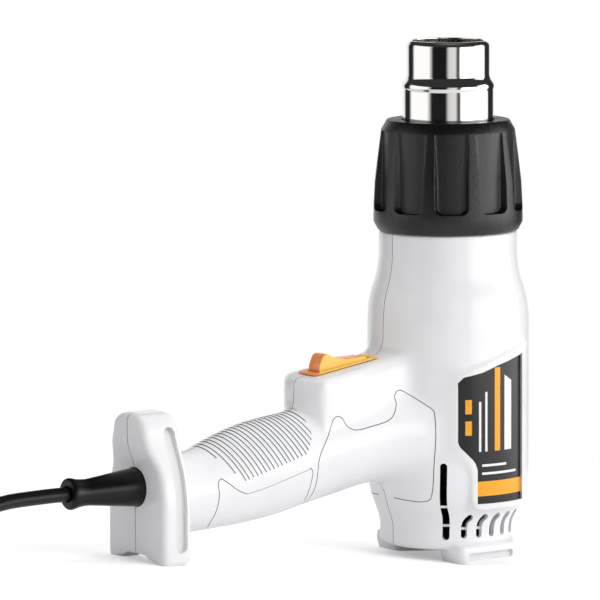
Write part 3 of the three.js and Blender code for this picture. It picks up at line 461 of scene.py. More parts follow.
def makeSleeve():
    mouth, front = sleeve["length"] - sleeve["back"], -sleeve["front"]
    step, edge, lip = front + sleeve["flangeThickness"], sleeve["edge"], sleeve["lip"]
    bore, deep = cord["diameter"] / 2 + sleeve["bore"], mouth - sleeve["boreDepth"]
    profile = [(0, front), (sleeve["flange"], front, edge), (sleeve["flange"], step, edge),
               (sleeve["rear"], step), (sleeve["rear"], 1 - sleeve["back"], 3),
               (sleeve["neck"], mouth - sleeve["neckFrom"], 4),
               (lip - 0.3, mouth - sleeve["lipFrom"], 1.2), (lip, mouth - sleeve["lipTo"], 0.7),
               (lip - 1, mouth, edge), (bore, mouth), (bore - 0.1, deep), (0, deep)]
    bm = moved(spunShape(profile, 96), onSleeve)
    return finishPiece(newObject("kinkSleeve", bm, [rubber]), "housing", ["strain_relief"])


cordPiece, cordEnd, cordLength = makeCord()
kinkSleeve = makeSleeve()
onCord = makePlug(cordEnd) + [kinkSleeve]
print("cord, coil and plug laid out")

# Floor and light

studio = {"white": "#ffffff", "paper": "#f4f4f5", "floorRadius": 0.62, "floorFade": (0.25, 0.55),
          "ambient": 0.55, "floorLift": 0.3, "boxStrength": 3.0}


def makeFloor():
    bm = bmesh.new()
    bmesh.ops.create_circle(bm, cap_ends=True, segments=128, radius=studio["floorRadius"])
    material = bpy.data.materials.new("paleStudioFloor")
    material.use_nodes = True
    tree = material.node_tree
    tree.nodes.clear()
    place = addNode(tree, "ShaderNodeTexCoord").outputs["Object"]
    distance = addNode(tree, "ShaderNodeVectorMath", {0: place}, operation="LENGTH").outputs["Value"]
    far = addNode(tree, "ShaderNodeMapRange", {
        "Value": distance, "From Min": studio["floorFade"][0], "From Max": studio["floorFade"][1]},
        interpolation_type="SMOOTHSTEP").outputs["Result"]
    paper = addNode(tree, "ShaderNodeBsdfDiffuse", {"Color": toLinear(studio["paper"])}).outputs["BSDF"]
    lift, plain = (addNode(tree, "ShaderNodeEmission", {
        "Color": toLinear(studio["white"]), "Strength": strength}).outputs["Emission"]
        for strength in (studio["floorLift"], 1.0))
    lit = addNode(tree, "ShaderNodeAddShader", {0: paper, 1: lift}).outputs["Shader"]
    seen = addNode(tree, "ShaderNodeMixShader", {"Fac": far, 1: lit, 2: plain}).outputs["Shader"]
    rays = addNode(tree, "ShaderNodeLightPath")
    mixed = addNode(tree, "ShaderNodeMixShader", {"Fac": rays.outputs["Is Camera Ray"], 1: paper, 2: seen})
    addNode(tree, "ShaderNodeOutputMaterial", {"Surface": mixed.outputs["Shader"]})
    newObject("floor", bm, [material])


# Softboxes as the steel shows them: azimuth round the tool, from 0 to 1 as -180 to 180 degrees
# seen from the camera, with how bright each stretch is
softboxes = [(0.0, 0.36), (0.095, 0.33), (0.12, 0.008), (0.178, 0.008), (0.205, 0.42), (0.345, 0.42),
             (0.38, 0.004), (0.482, 0.004), (0.505, 0.27), (0.552, 0.3), (0.568, 0.03), (0.582, 0.03),
             (0.598, 0.9), (0.81, 0.9), (0.84, 0.01), (0.925, 0.01), (0.965, 0.33), (1.0, 0.36)]
# the same from the horizon up to the zenith, (sine of the angle, value)
overhead = [(0.3, 0), (0.36, 0.012), (0.9, 0.012), (1.0, 0.06)]


def makeWorld():
    world = bpy.data.worlds.new("studio")
    bpy.context.scene.world = world
    world.use_nodes = True
    tree = world.node_tree
    tree.nodes.clear()
    direction = addNode(tree, "ShaderNodeTexCoord").outputs["Generated"]
    toCamera = math.atan2(-view["forward"][1], -view["forward"][0])
    turned = addNode(tree, "ShaderNodeVectorRotate", {
        "Vector": direction, "Angle": -toCamera}, rotation_type="Z_AXIS").outputs["Vector"]
    parts = addNode(tree, "ShaderNodeSeparateXYZ", {"Vector": turned}).outputs
    azimuth = addNode(tree, "ShaderNodeMath", {0: parts["Y"], 1: parts["X"]},
                      operation="ARCTAN2").outputs["Value"]
    around = addNode(tree, "ShaderNodeMapRange", {
        "Value": azimuth, "From Min": -math.pi, "From Max": math.pi})
    boxes = addNode(tree, "ShaderNodeValToRGB", {"Fac": around.outputs["Result"]})
    setRamp(boxes, softboxes)
    height = addNode(tree, "ShaderNodeMapRange", {
        "Value": parts["Z"], "From Min": overhead[0][0], "From Max": overhead[1][0]})
    ceiling = addNode(tree, "ShaderNodeValToRGB", {"Fac": parts["Z"]})
    setRamp(ceiling, overhead)
    rays = addNode(tree, "ShaderNodeLightPath").outputs
    behind = addNode(tree, "ShaderNodeMath", {0: rays["Is Camera Ray"], 1: rays["Is Transmission Ray"]},
                     operation="MAXIMUM")

    def mixed(share, first, second):
        return addNode(tree, "ShaderNodeMix", {"Factor": share, "A": first, "B": second},
                       data_type="RGBA").outputs["Result"]

    reflected = mixed(height.outputs["Result"], boxes.outputs["Color"], ceiling.outputs["Color"])
    ambient = mixed(rays["Is Glossy Ray"], (studio["ambient"],) * 3 + (1,), reflected)
    shown = mixed(behind.outputs["Value"], ambient, toLinear(studio["white"]))
    strength = addNode(tree, "ShaderNodeMapRange", {
        "Value": rays["Is Glossy Ray"], "To Min": 1.0, "To Max": studio["boxStrength"]})
    light = addNode(tree, "ShaderNodeBackground", {"Color": shown, "Strength": strength.outputs["Result"]})
    addNode(tree, "ShaderNodeOutputWorld", {"Surface": light.outputs["Background"]})


# Each lamp: where it hangs, what it points at, its size and power in metres and watts
lamps = {
    "keySoftbox": {"place": (0.45, -1.3, 0.9), "aim": (0.05, 0, 0.1), "size": 0.9, "power": 11.5},
    "topSoftbox": {"place": (0.1, 0.2, 1.5), "aim": (0.05, 0, 0.05), "size": 1.1, "power": 5},
    "sideSoftbox": {"place": (1.1, -0.55, 0.5), "aim": (0.05, 0, 0.12), "size": 0.7, "power": 2},
    "farEdge": {"place": (0.9, 0.9, 0.7), "aim": (0.05, 0, 0.1), "size": 0.6, "power": 1.5},
}


def makeLamps():
    for name, values in lamps.items():
        data = bpy.data.lights.new(name, "AREA")
        data.size = values["size"]
        data.energy = values["power"]
        lamp = bpy.data.objects.new(name, data)
        lamp.location = values["place"]
        aim = Vector(values["aim"]) - Vector(values["place"])
        lamp.rotation_euler = aim.to_track_quat("-Z", "Y").to_euler()
        lamp.visible_glossy = name == "sideSoftbox"
        bpy.context.scene.collection.objects.link(lamp)


makeFloor()
makeWorld()
makeLamps()
bpy.context.scene.view_settings.view_transform = "Standard"
print("floor and light set")

# Gloss white ABS, moulded in a polished tool: a wet looking skin with 30 mm flow marks and 2.4 mm waves
whiteAbs = makeMaterial("mouldedWhiteAbs", ["#ededf0", "#f2f2f3"], (0.15, 0.26), (35.0, 2.0),
                        (420.0, 1.0, 0.03, 0.0003), {"IOR": 1.53})

# Inside wall of the casing: the same ABS, painted grey-black as the shade that falls inside the closed
# casing, mottled
shadedCasingInside = makeMaterial("paintedShadeCasingInside", ["#17171a", "#2e2e31"], (0.7,), (300.0, 4.0),
                            surface={"IOR": 1.53}, stops=(0.35, 0.7))

# Edge of a joint between two white mouldings, painted grey as the shade that falls in the crevice
jointShade = makeMaterial("paintedShadeMouldingJoint", ["#4e4e52", "#626266"], (0.6,), (500.0, 3.0),
                          surface={"IOR": 1.53})
casingMaterials = [whiteAbs, shadedCasingInside, jointShade]

# Casing

casing = {
    "voxel": 0.76, "insideVoxel": 1.1, "smoothing": 6, "gap": 0.3, "wall": 2.6,
    "barrel": [(0, 6.8), (28.9, 6.8, 1.6), (28.9, 18.5, 5), (34.2, 28.3, 7), (34.2, 108.6, 7),
               (29.15, 123.5, 6), (29.15, 138.9), (26.75, 138.9), (26.75, 164.9), (0, 164.9)],
    "barrelInside": [(0, 9.4), (26.3, 9.4), (26.3, 18.5), (31.6, 28.9), (31.6, 108), (24.2, 122.3),
                     (24.2, 162.3), (20.65, 162.3), (20.65, 166), (0, 166)],
    # the grip's sections: distance from the barrel's axis, underside, top and half width
    "grip": [(152, 23, 56, 15.3), (138, 23, 56, 15.3), (132, 23.2, 56.8, 15.5), (127.6, 23.4, 58.4, 16),
             (120, 23.7, 61.3, 16.5), (111.6, 24.1, 64.1, 16.8), (103, 24.9, 66.2, 17),
             (95.7, 25.7, 67.2, 17), (87, 27.3, 68.1, 17), (78.3, 29.3, 69.4, 17), (69, 31, 71, 17.2),
             (59.5, 32.9, 73, 17.5), (45, 35.4, 76, 19.2), (37, 35, 78, 21), (29.5, 33, 80, 23.6),
             (22, 31, 81, 25.6), (12, 29, 81, 27)],
    "gripRoomEnd": (145, 23.6, 57.4, 15.4), "beyond": 60,
    # stretches smoothed into fillets, fading in and out between the first and the last pair of values
    "blends": [{"along": (-58, -50, -24, -12), "up": (20, 28, 100, 112), "rounds": 260},
               {"along": (-92, -86, -48, -36), "up": (60, 67, 96, 104), "rounds": 60}],
    "block": {"rear": 80, "half": 14.5, "bulge": 5.5, "top": 81.8, "slope": 8.8, "front": -17, "floor": 55},
    "switchHole": (16, 5.45, 20), "clampRoom": ((-127, -5.8, 31), (-117, 5.8, 57)),
    # the ring inside the barrel whose groove holds the outlet's flange
    "seat": [(21.15, 92.6), (33, 92.6), (33, 100.1), (21.15, 100.1), (21.15, 97.4), (23.95, 97.4),
             (23.95, 95.3), (21.15, 95.3)],
}


def gripStations(shrink=0):
    return [(-out, low + shrink, high - shrink, half - shrink) for out, low, high, half in casing["grip"]]


def blockShape(shrink=0):
    block = casing["block"]
    half = block["half"] - shrink
    radius = (block["half"] ** 2 + block["bulge"] ** 2) / (2 * block["bulge"])
    top = block["top"] - shrink
    rise = (block["rear"] + block["front"]) * math.tan(math.radians(block["slope"]))
    corner = -block["rear"] + block["bulge"] + shrink * 0.6
    side = [(corner, block["floor"]), (block["front"], block["floor"]), (block["front"], top + rise),
            (corner, top + block["bulge"] * 0.15)]
    box = sideSlab(side, -half, half)
    bow = bmesh.new()
    middle = Matrix.Translation((-block["rear"] + radius, 0, block["floor"] + 30))
    bmesh.ops.create_cone(bow, cap_ends=True, segments=96, radius1=radius - shrink, radius2=radius - shrink,
                          depth=60, matrix=middle)
    lean = math.radians(block["slope"])
    planes = [((0, half, 0), (0, 1, 0)), ((0, -half, 0), (0, -1, 0)), ((corner + 4, 0, 0), (1, 0, 0)),
              ((-block["rear"], 0, top), (-math.sin(lean), 0, math.cos(lean)))]
    for place, normal in planes:
        cut = sliced(bow, place, normal, clear_outer=True)["geom_cut"]
        bmesh.ops.contextual_create(bow, geom=[g for g in cut if isinstance(g, bmesh.types.BMEdge)])
    return merged([box, bow])


def gripShape(stations):
    grip = newObject("grip", loftShape(stations))
    modified(grip, "SUBSURF", levels=2, render_levels=2)
    return takenFrom(grip)


plate = {"front": -145, "back": -159, "lobe": 3.7, "rim": 2.6, "channel": (-153, -147.5), "channelLow": 18.5,
         "channelHigh": 69, "channelDepth": 2.2, "channelCorner": 2.7, "low": 12.6, "high": 75.4,
         "corner": 5, "swellFrom": 50, "swellOver": 14, "arch": (5.5, 16.8, 1.5),
         "side": [(16.5, 12, 2), (20.8, 12, 4), (20.8, 46, 9), (12.3, 64.5, 5), (10.8, 74.5, 7)]}


def plateOutline(inset=0):
    # as seen from the end, drawn in by the inset at the sides and the top
    sole, *middle, top = plate["side"]
    half = [plate["arch"], sole, *[(y - inset, z, r) for y, z, r in middle],
            (top[0] - inset, top[1] - inset, top[2])]
    other = [(-y, z, r) for y, z, r in reversed(half)]
    return other[-1:] + half + other[:-1]


def plateShape():
    thickness = plate["front"] - plate["back"]
    bm = endSlab(plateOutline(), plate["back"], plate["front"])
    rounded(bm, squareTo(bm, 0), plate["rim"], 5)
    for height in range(48, 68, 2):
        sliced(bm, (0, 0, height), (0, 0, 1))
    for vert in bm.verts:  # the upper lobe swells backwards
        share = (plate["front"] - vert.co.x) / thickness
        swell = eased(vert.co.z, plate["swellFrom"], plate["swellFrom"] + plate["swellOver"])
        vert.co.x -= plate["lobe"] * share * swell
    sideView = [(-180, plate["low"]), (plate["front"], plate["low"], plate["corner"]),
                (plate["front"], plate["high"], plate["corner"]), (-180, plate["high"])]
    body = newObject("plate", bm)
    combined(body, newObject("sideView", sideSlab(sideView, -30, 30)), "INTERSECT")
    return takenFrom(body)


def cheekChannel(side):
    low, high = plate["channel"]
    ends = sorted((side * 5, side * 40))
    channel = boxShape((low, ends[0], plate["channelLow"]), (high, ends[1], plate["channelHigh"]),
                       plate["channelCorner"], (0, 1, 0), 8)
    core = endSlab(plateOutline(plate["channelDepth"]), -190, -130)
    return combined(newObject("channel", channel), newObject("core", core))


foot = {"low": -1.5, "high": 9.2, "left": -16.8, "right": 15.4, "inner": 15.5, "outer": 31, "taperFrom": 5,
        "soleShare": 0.88, "edge": 1.4, "slotLeft": -12.6, "slotRight": 11.4, "slotLow": 2.8, "slotHigh": 5.9,
        "slotDepth": 2.4, "slotCorner": 1.5}


def footShape(side):
    points = [(foot["left"], foot["inner"], 2), (foot["left"] + 0.5, foot["outer"], 3),
              (foot["right"], foot["outer"], 7), (foot["right"], foot["inner"], 2)]
    bm = slabShape(points, lambda across, up: (across, side * up, foot["low"]),
                   (0, 0, foot["high"] - foot["low"]))
    edges = squareTo(bm, 2)
    sliced(bm, (0, 0, foot["taperFrom"]), (0, 0, 1))
    for vert in bm.verts:
        if vert.co.z < foot["low"] + 0.01:
            vert.co.x *= foot["soleShare"]
    rounded(bm, [e for e in edges if e.is_valid], foot["edge"], 4)
    return bm


label = {"radius": 34.2, "rise": 1.5, "across": (-50, -10), "discSpan": (20, 100),
         "outline": [(-17.9, 52, 2), (-10.3, 43.6, 3), (-10.3, 27), (14.2, 27), (14.2, 88.9), (-1, 85),
                     (-8, 82.4), (-15.7, 80.6), (-17.9, 78.2)],
         "frame": [(-20.3, 50, 3), (-12.7, 41.5, 4), (-12.7, 26.5, 2.5), (-10, 24.3, 1), (19, 24.3),
                   (19, 94), (-1, 88), (-8, 85.2), (-16.5, 83), (-20.3, 79)]}


def labelSlab(outline, radius, operation):
    # an outline (along, up) on the near side, either side of the barrel's round skin
    slab = newObject("slab", sideSlab(outline, *label["across"]))
    low, high = label["discSpan"]
    disc = spunShape([(0, low), (radius, low), (radius, high), (0, high)], 256)
    return combined(slab, newObject("disc", disc), operation)


def labelPad():
    return takenFrom(labelSlab(label["frame"], label["radius"] + label["rise"], "INTERSECT"))


def rawCasing():
    shapes = [spunShape(casing["barrel"], 256), blockShape(), plateShape(), footShape(-1), footShape(1),
              labelPad(), gripShape(gripStations())]
    body = newObject("casing", merged(shapes), casingMaterials)
    modified(body, "REMESH", mode="VOXEL", voxel_size=casing["voxel"])
    modified(body, "SMOOTH", factor=0.5, iterations=casing["smoothing"])
    for blend in casing["blends"]:
        group = body.vertex_groups.new(name="blend")
        for vert in body.data.vertices:
            share = 1
            for value, stretch in ((vert.co.x, blend["along"]), (vert.co.z, blend["up"])):
                share *= eased(value, *stretch[:2]) * (1 - eased(value, *stretch[2:]))
            if share > 0.01:
                group.add([vert.index], share, "REPLACE")
        modified(body, "SMOOTH", factor=0.5, iterations=blend["rounds"], vertex_group="blend")
        body.vertex_groups.clear()
    return body


body = rawCasing()
print("casing blank", len(body.data.polygons), "faces")

# Screws go in from the far side, in wells that stop at a shoulder; places are (along, up)
screws = {"places": [(23.95, 111.5), (-23.95, 111.5), (26.8, 85.6), (20.23, 12.28), (-20.23, 12.28),
                     (-56.9, 40.5), (-136, 28.48), (-136, 50.52)],
          "clampPlaces": [(-122, 51), (-122, 37)], "shoulder": 8, "post": 4.8, "slimPost": 3.6, "well": 3.4,
          "bore": 1.55, "boreStart": -8, "headRadius": 3, "headHeight": 2.2, "radius": 1.5, "length": 17,
          "clampLength": 12, "clampFace": -5.55}


def rodShape(x, z, radius, start, end, sides=32):
    bm = bmesh.new()
    turned = Matrix.Translation((x, (start + end) / 2, z)) @ Matrix.Rotation(math.radians(90), 4, "X")
    bmesh.ops.create_cone(bm, cap_ends=True, segments=sides, radius1=radius, radius2=radius,
                          depth=abs(end - start), matrix=turned)
    return bm


def darkCutter(name, bm, finish=1):
    # the faces this cutter leaves take finish 1, grey-black painted shade, or 2, grey painted joint shade
    cutter = newObject(name, bm, casingMaterials)
    cutter.data.polygons.foreach_set("material_index", [finish] * len(cutter.data.polygons))
    return cutter


def hollow():
    wall, beyond = casing["wall"], casing["beyond"]
    out, low, high, half = casing["gripRoomEnd"]
    stations = [(-out, low + wall, high - wall, half - wall)] + gripStations(wall)[2:]
    shapes = [spunShape(casing["barrelInside"], 128), blockShape(wall), gripShape(stations)]
    room = newObject("room", merged(shapes), [whiteAbs, shadedCasingInside])
    modified(room, "REMESH", mode="VOXEL", voxel_size=casing["insideVoxel"])
    combined(room, newObject("seat", spunShape(casing["seat"], 96, closed=True)))
    for x, z in screws["places"]:
        radius = screws["slimPost"] if x < -130 else screws["post"]
        combined(room, newObject("post", rodShape(x, z, radius, -beyond, beyond)))
    for x, z in screws["clampPlaces"]:
        anvil = rodShape(x, z, screws["slimPost"], casing["gap"] / 2, beyond)
        combined(room, newObject("anvil", anvil))
    # the whole inside of the casing is painted grey-black as shade
    room.data.polygons.foreach_set("material_index", [1] * len(room.data.polygons))
    return room


# Slots: the middle of each, seen along its own direction; ribs across are (height, distance from the axis)
vents = {"long": {"angle": -40.3, "width": 3, "path": [(0.1, 42.9), (0, 26), (0.8, 21), (0.7, 12.6)],
                  "ribs": [(25.6, 31), (17.2, 27.5)]},
         "short": {"angles": [-23.8, -10.6, 2, 14.5, 26.7], "width": 2.6, "ribs": [(15.8, 27.5)], "ribbed": 2,
                   "path": [(0, 13.1), (0, 15.3), (0.1, 17.4), (0.9, 19.4), (2.3, 20.7)]},
         "near": -45, "far": -14, "ribAcross": 8, "ribHalf": 0.5, "ribInner": -10}


def slotShape(path, width, near, far):
    # a channel of even width whose middle follows path, cut straight in from near to far
    line = smoothLine(path, 6)
    bm = bmesh.new()
    rings = []
    for i, (across, up) in enumerate(line):
        before, after = line[max(i - 1, 0)], line[min(i + 1, len(line) - 1)]
        along = Vector((after[0] - before[0], after[1] - before[1])).normalized()
        side = Vector((along.y, -along.x)) * width / 2
        corners = [(across + side.x, near, up + side.y), (across - side.x, near, up - side.y),
                   (across - side.x, far, up - side.y), (across + side.x, far, up + side.y)]
        verts = [bm.verts.new(c) for c in corners]
        rings.append([bm.edges.new((verts[k], verts[(k + 1) % 4])) for k in range(4)])
    bridged(bm, rings)
    bmesh.ops.recalc_face_normals(bm, faces=bm.faces)
    slot = newObject("slot", bm, [whiteAbs, shadedCasingInside])
    for across, up in (line[0], line[-1]):
        combined(slot, newObject("end", rodShape(across, up, width / 2, near, far)), "UNION")
    return slot


def ventSlots(side):
    slots = []
    long, short = vents["long"], vents["short"]
    runs = [(long["angle"], long["path"], long["width"], long["ribs"])]
    # the far side's last slot would let daylight into the near side's long one
    angles = short["angles"][:-1] if side > 0 else short["angles"]
    runs += [(angle, short["path"], short["width"], short["ribs"] if i < short["ribbed"] else [])
             for i, angle in enumerate(angles)]
    across, half, inner = vents["ribAcross"], vents["ribHalf"], vents["ribInner"]
    for angle, path, width, ribs in runs:
        slot = slotShape(path, width, vents["near"], vents["far"])
        for height, reach in ribs:
            rib = boxShape((-across, -reach, height - half), (across, inner, height + half))
            combined(slot, newObject("rib", rib))
        turn = Matrix.Diagonal((1, -side, 1, 1)) @ Matrix.Rotation(math.radians(angle), 4, "Z")
        slot.data.transform(turn)
        if side > 0:
            slot.data.flip_normals()
        slots.append(slot)
    return slots


# Joints between the moulded parts of the casing: half width, then points (along, up) as seen from the side
panelLines = [
    (0.2, [(-80, 30.5), (-79.5, 35.4), (-79.5, 40.2), (-79.6, 44.5), (-79.5, 48.6), (-78.1, 52.6),
           (-72.5, 60.6), (-69.9, 65.9), (-67.9, 66.8), (-65.5, 65.6), (-63.6, 62.5), (-60.5, 60.7),
           (-51.8, 61.7), (-44, 63.6), (-41.3, 65.9), (-39.2, 70), (-39.3, 73), (-37.5, 75.1),
           (-35.4, 74.9), (-27.2, 68.5), (-25.4, 66.6), (-25.1, 64), (-25.1, 50), (-25.1, 31.2),
           (-25.4, 28.8), (-26.8, 27.8), (-30, 27.8), (-33, 28.6), (-37, 29.8), (-42, 31)]),
    (0.2, [(-81.9, 32.4), (-82.3, 37), (-82.3, 41.8), (-82.3, 45.6), (-83.8, 47)]),
    (0.2, [(-128.7, 25.5), (-129.6, 28), (-129.1, 31.1), (-128.7, 35.3), (-128.4, 39.8), (-128.6, 44.7),
           (-127.1, 46.2), (-125.5, 45.3), (-119, 40.7), (-116, 39.4), (-114.8, 39)]),
    (0.12, [(-114.8, 39), (-108.2, 40.1), (-96.3, 43.1), (-83.8, 46.5)])]
panelLineStep = 0.6


def pipeShape(points, radius, sides=6):
    bm = bmesh.new()
    rings = []
    for i, point in enumerate(points):
        along = (points[min(i + 1, len(points) - 1)] - points[max(i - 1, 0)]).normalized()
        across = along.cross(Vector((0, 1, 0.01))).normalized()
        turned = Matrix((across, along.cross(across), along)).transposed().to_4x4()
        rings.append(circleRing(bm, sides, radius, Matrix.Translation(point) @ turned))
    return bridged(bm, rings)


def seamCutters(side):
    bm = bmesh.new()
    bm.from_mesh(body.data)
    skin = BVHTree.FromBMesh(bm)
    bm.free()
    cutters = []
    for radius, line in panelLines:
        hits = []
        for out, up in smoothLine(line, 6):
            hit = skin.ray_cast(Vector((out, side * 60, up)), Vector((0, -side, 0)))[0]
            if hit and abs(hit.y) > 1:
                hits.append(hit)
        points = hits[:1]
        for before, after in zip(hits, hits[1:]):
            steps = max(math.ceil((after - before).length / panelLineStep), 1)
            points += [skin.find_nearest(before.lerp(after, (i + 1) / steps))[0] for i in range(steps)]
        # the seam's walls are painted grey as the shade in the joint
        cutters.append(darkCutter("seam", pipeShape(points, radius), 2))
    return cutters


# Grooves across the top of the grip: foot of each (along, up) as seen from the side
grooves = {"width": 0.62, "depth": 0.5, "lean": (-10, 17), "rearGap": 0.8, "clearAbove": 58,
           "ends": [(-126.4, 54.2), (-120.4, 47.9), (-115.8, 44.6), (-114, 45), (-111.9, 45.7),
                    (-109.8, 46.2), (-107.7, 46.6), (-105.7, 47.3), (-103.7, 47.8), (-101.7, 48.3),
                    (-99.6, 48.9), (-97.6, 49.4), (-95.4, 50), (-93.5, 50.5), (-91.5, 51), (-89.5, 51.6),
                    (-87.4, 52.2), (-85.4, 52.8), (-84.1, 54.5), (-83, 56.4), (-81.8, 58.4), (-80.5, 60.3),
                    (-79, 62.1), (-77.5, 63.8)]}


def grooveCutter():
    angle = math.degrees(math.atan2(*grooves["lean"]))
    half, deep = grooves["width"] / 2, grooves["depth"]
    shapes = []
    for along, up in grooves["ends"]:
        slab = turnedBy(boxShape((-half, -30, 0), (half, 30, 40)), angle, "Y")
        shapes.append(moved(slab, Matrix.Translation((along, 0, up))))
    # the grooves' cut faces are painted grey as the shade in them
    cutter = darkCutter("grooves", merged(shapes), 2)
    core = newObject("core", loftShape(gripStations(deep)))
    modified(core, "SUBSURF", levels=3, render_levels=3)
    combined(cutter, core)
    rear = -casing["block"]["rear"] - grooves["rearGap"]
    blockSide = boxShape((rear, -30, grooves["clearAbove"]), (0, 30, 120))
    return combined(cutter, newObject("blockSide", blockSide))


def footSlot(side):
    ends = sorted((side * (foot["outer"] - foot["slotDepth"]), side * 40))
    return newObject("footSlot", boxShape((foot["slotLeft"], ends[0], foot["slotLow"]),
                                          (foot["slotRight"], ends[1], foot["slotHigh"]),
                                          foot["slotCorner"], (0, 1, 0)))


def sleeveHole():
    wide = sleeve["flange"] + casing["gap"]
    room = spunShape([(0, sleeve["roomFront"]), (wide, sleeve["roomFront"]), (wide, sleeve["roomStep"]),
                      (sleeve["throat"], sleeve["roomStep"]), (sleeve["throat"], 170), (0, 170)], 64)
    return newObject("sleeveHole", moved(room, onSleeve))


def switchHole():
    size = casing["switchHole"]
    return newObject("switchHole", moved(boxShape([-s for s in size], size, 1, (0, 0, 1)), onSwitch))


def cutCasing():
    seams = seamCutters(-1) + seamCutters(1)
    combined(body, hollow())
    underTable = turnedBy(boxShape((-300, -100, -60), (100, 100, 0)), tableStance["lean"], "Y")
    combined(body, newObject("underTable", underTable))
    for side in (-1, 1):
        for cutter in (*ventSlots(side), cheekChannel(side), footSlot(side)):
            combined(body, cutter)
    labelRecess = labelSlab(label["outline"], label["radius"], "DIFFERENCE")
    for cutter in (*seams, grooveCutter(), labelRecess):
        combined(body, cutter)
    for x, z in screws["places"]:
        # the screw wells and bores are painted grey-black as shade
        combined(body, darkCutter("well", rodShape(x, z, screws["well"], screws["shoulder"],
                                                   casing["beyond"])))
        combined(body, darkCutter("bore", rodShape(x, z, screws["bore"], screws["boreStart"],
                                                   screws["shoulder"] + 1)))
    for cutter in (switchHole(), sleeveHole(), newObject("clampRoom", boxShape(*casing["clampRoom"]))):
        combined(body, cutter)


# Switch: measures in its own frame, with the pivot's place and the frame's size
switch = {"reach": 56.9, "base": 85.4, "length": 33.6, "width": 12.5, "rise": 0.55, "rim": 2.1, "end": 3,
          "rockerWidth": 7.7, "halfLength": 12.9, "depth": 8, "endGap": 0.3, "heelShare": 0.5,
          "skirtShare": 0.25, "pivot": -2.3, "pin": 1.5, "pinSpan": 10.2, "foot": 0.3, "corner": 1.2,
          "windowCorner": 0.5,
          # the rocker's top from its front end: share of its half length, height
          "top": [(1, 0.4), (0.86, 1.9), (0.58, 2.4), (0.3, 2.9), (0.02, 3.4), (-0.24, 4.6), (-0.44, 6.1),
                  (-0.56, 7.15), (-0.72, 7.05), (-0.86, 5), (-0.96, 2.6), (-0.984496, 0.4)]}
onSwitch = (Matrix.Translation((-switch["reach"], 0, switch["base"]))
            @ Matrix.Rotation(math.radians(-casing["block"]["slope"]), 4, "Y"))


def makeCasing():
    cutCasing()
    print("casing cut", len(body.data.polygons), "faces")
    halfGap = casing["gap"] / 2
    for side, name, node in ((-1, "casingNearHalf", "housing_left"), (1, "casingFarHalf", "housing_right")):
        half = bpy.data.objects.new(name, body.data.copy())
        bpy.context.scene.collection.objects.link(half)
        low, high = sorted((side * halfGap, -side * 100))
        # the faces along the parting gap are painted grey as shade
        combined(half, darkCutter("other", boxShape((-300, low, -100), (100, high, 300)), 2))
        finishPiece(half, "housing", [node], 34)
        half.data.validate()
        print(name, triangles(half), "triangles")
    discard(body)


makeCasing()

# Glass filled nylon, moulded in a spark eroded tool: charcoal with a fine even 0.6 mm grain
nylon = makeMaterial("mouldedGlassFilledNylon", ["#09090a", "#0e0e0f"], (0.28, 0.38), (420.0, 5.0),
                     (1700.0, 2.0, 0.6, 0.0003), {"IOR": 1.5})

# Collar. Across one flute: distance from its middle and share of its full depth, the first few on its flat
# floor; the rest of the pitch is rib. Its floor is (height, distance from the axis), other lines the reverse
collar = {"flutes": 10, "half": 6.95, "low": 147.8, "high": 181.1, "corner": 3, "phase": -34, "ribSteps": 4,
          "floorSteps": 4, "rowPitch": 2.5, "rowCount": 12, "fade": 0.15, "topRows": (0.05, 0, -0.4),
          "lowRows": (0.15, 0.05, -0.05, -0.15, -0.4),
          "across": [(0, 1), (2, 1), (4, 1), (5.6, 1), (6.0, 0.98), (6.4, 0.92), (6.6, 0.82), (6.95, 0.2),
                     (7.05, 0.08), (7.25, 0.01), (7.5, 0)],
          "floor": [(147.8, 28.1), (181.1, 27.2)],
          "outer": [(28.1, 181.4), (28.7, 176.5), (29.8, 168), (30.8, 159.6), (31.3, 150), (31.4, 142.8)],
          "top": [(19.75, 185.5), (25.7, 185.5, 0.4)],
          "under": [(29.6, 139.2, 0.5), (27.05, 139.2), (27.05, 167), (21.5, 182.3), (19.75, 182.3)]}


def valueAt(line, place):
    # on a line of (place, value) points, straight between them
    for (a, first), (b, second) in zip(line, line[1:]):
        if a <= place <= b:
            return first + (second - first) * (place - a) / (b - a)
    return line[0][1] if place < line[0][0] else line[-1][1]


def fluted(vert, perFlute, steps):
    # puts a vertex of the spun blank at its place on a flute or rib
    radius = math.hypot(vert.co.x, vert.co.y)
    low, high, corner = collar["low"], collar["high"], collar["corner"]
    column = round(math.atan2(vert.co.y, vert.co.x) / (2 * math.pi) * steps)
    flute, offset = divmod(column + perFlute // 2, perFlute)
    offset -= perFlute // 2
    step, side = abs(offset), math.copysign(1, offset)
    edge = len(collar["across"]) - 1
    inCorner = min(max(low + corner - vert.co.z, 0), corner)
    narrowed = corner - math.sqrt(corner ** 2 - inCorner ** 2)
    distance, depth = collar["across"][min(step, edge)]
    if step < collar["floorSteps"]:
        distance *= (collar["half"] - narrowed) / collar["half"]
    else:
        distance -= narrowed
    angle = math.asin(distance / radius)
    if step > edge:
        angle += (math.pi / collar["flutes"] - angle) * (step - edge) / collar["ribSteps"]
    outside = radius > collar["floor"][0][1] and vert.co.z < high + 0.02
    depth *= eased(vert.co.z, low - collar["fade"], low + collar["fade"]) if outside else 0
    radius -= depth * (radius - valueAt(collar["floor"], vert.co.z))
    turn = flute * 2 * math.pi / collar["flutes"] + side * angle
    vert.co.x, vert.co.y = radius * math.cos(turn), radius * math.sin(turn)


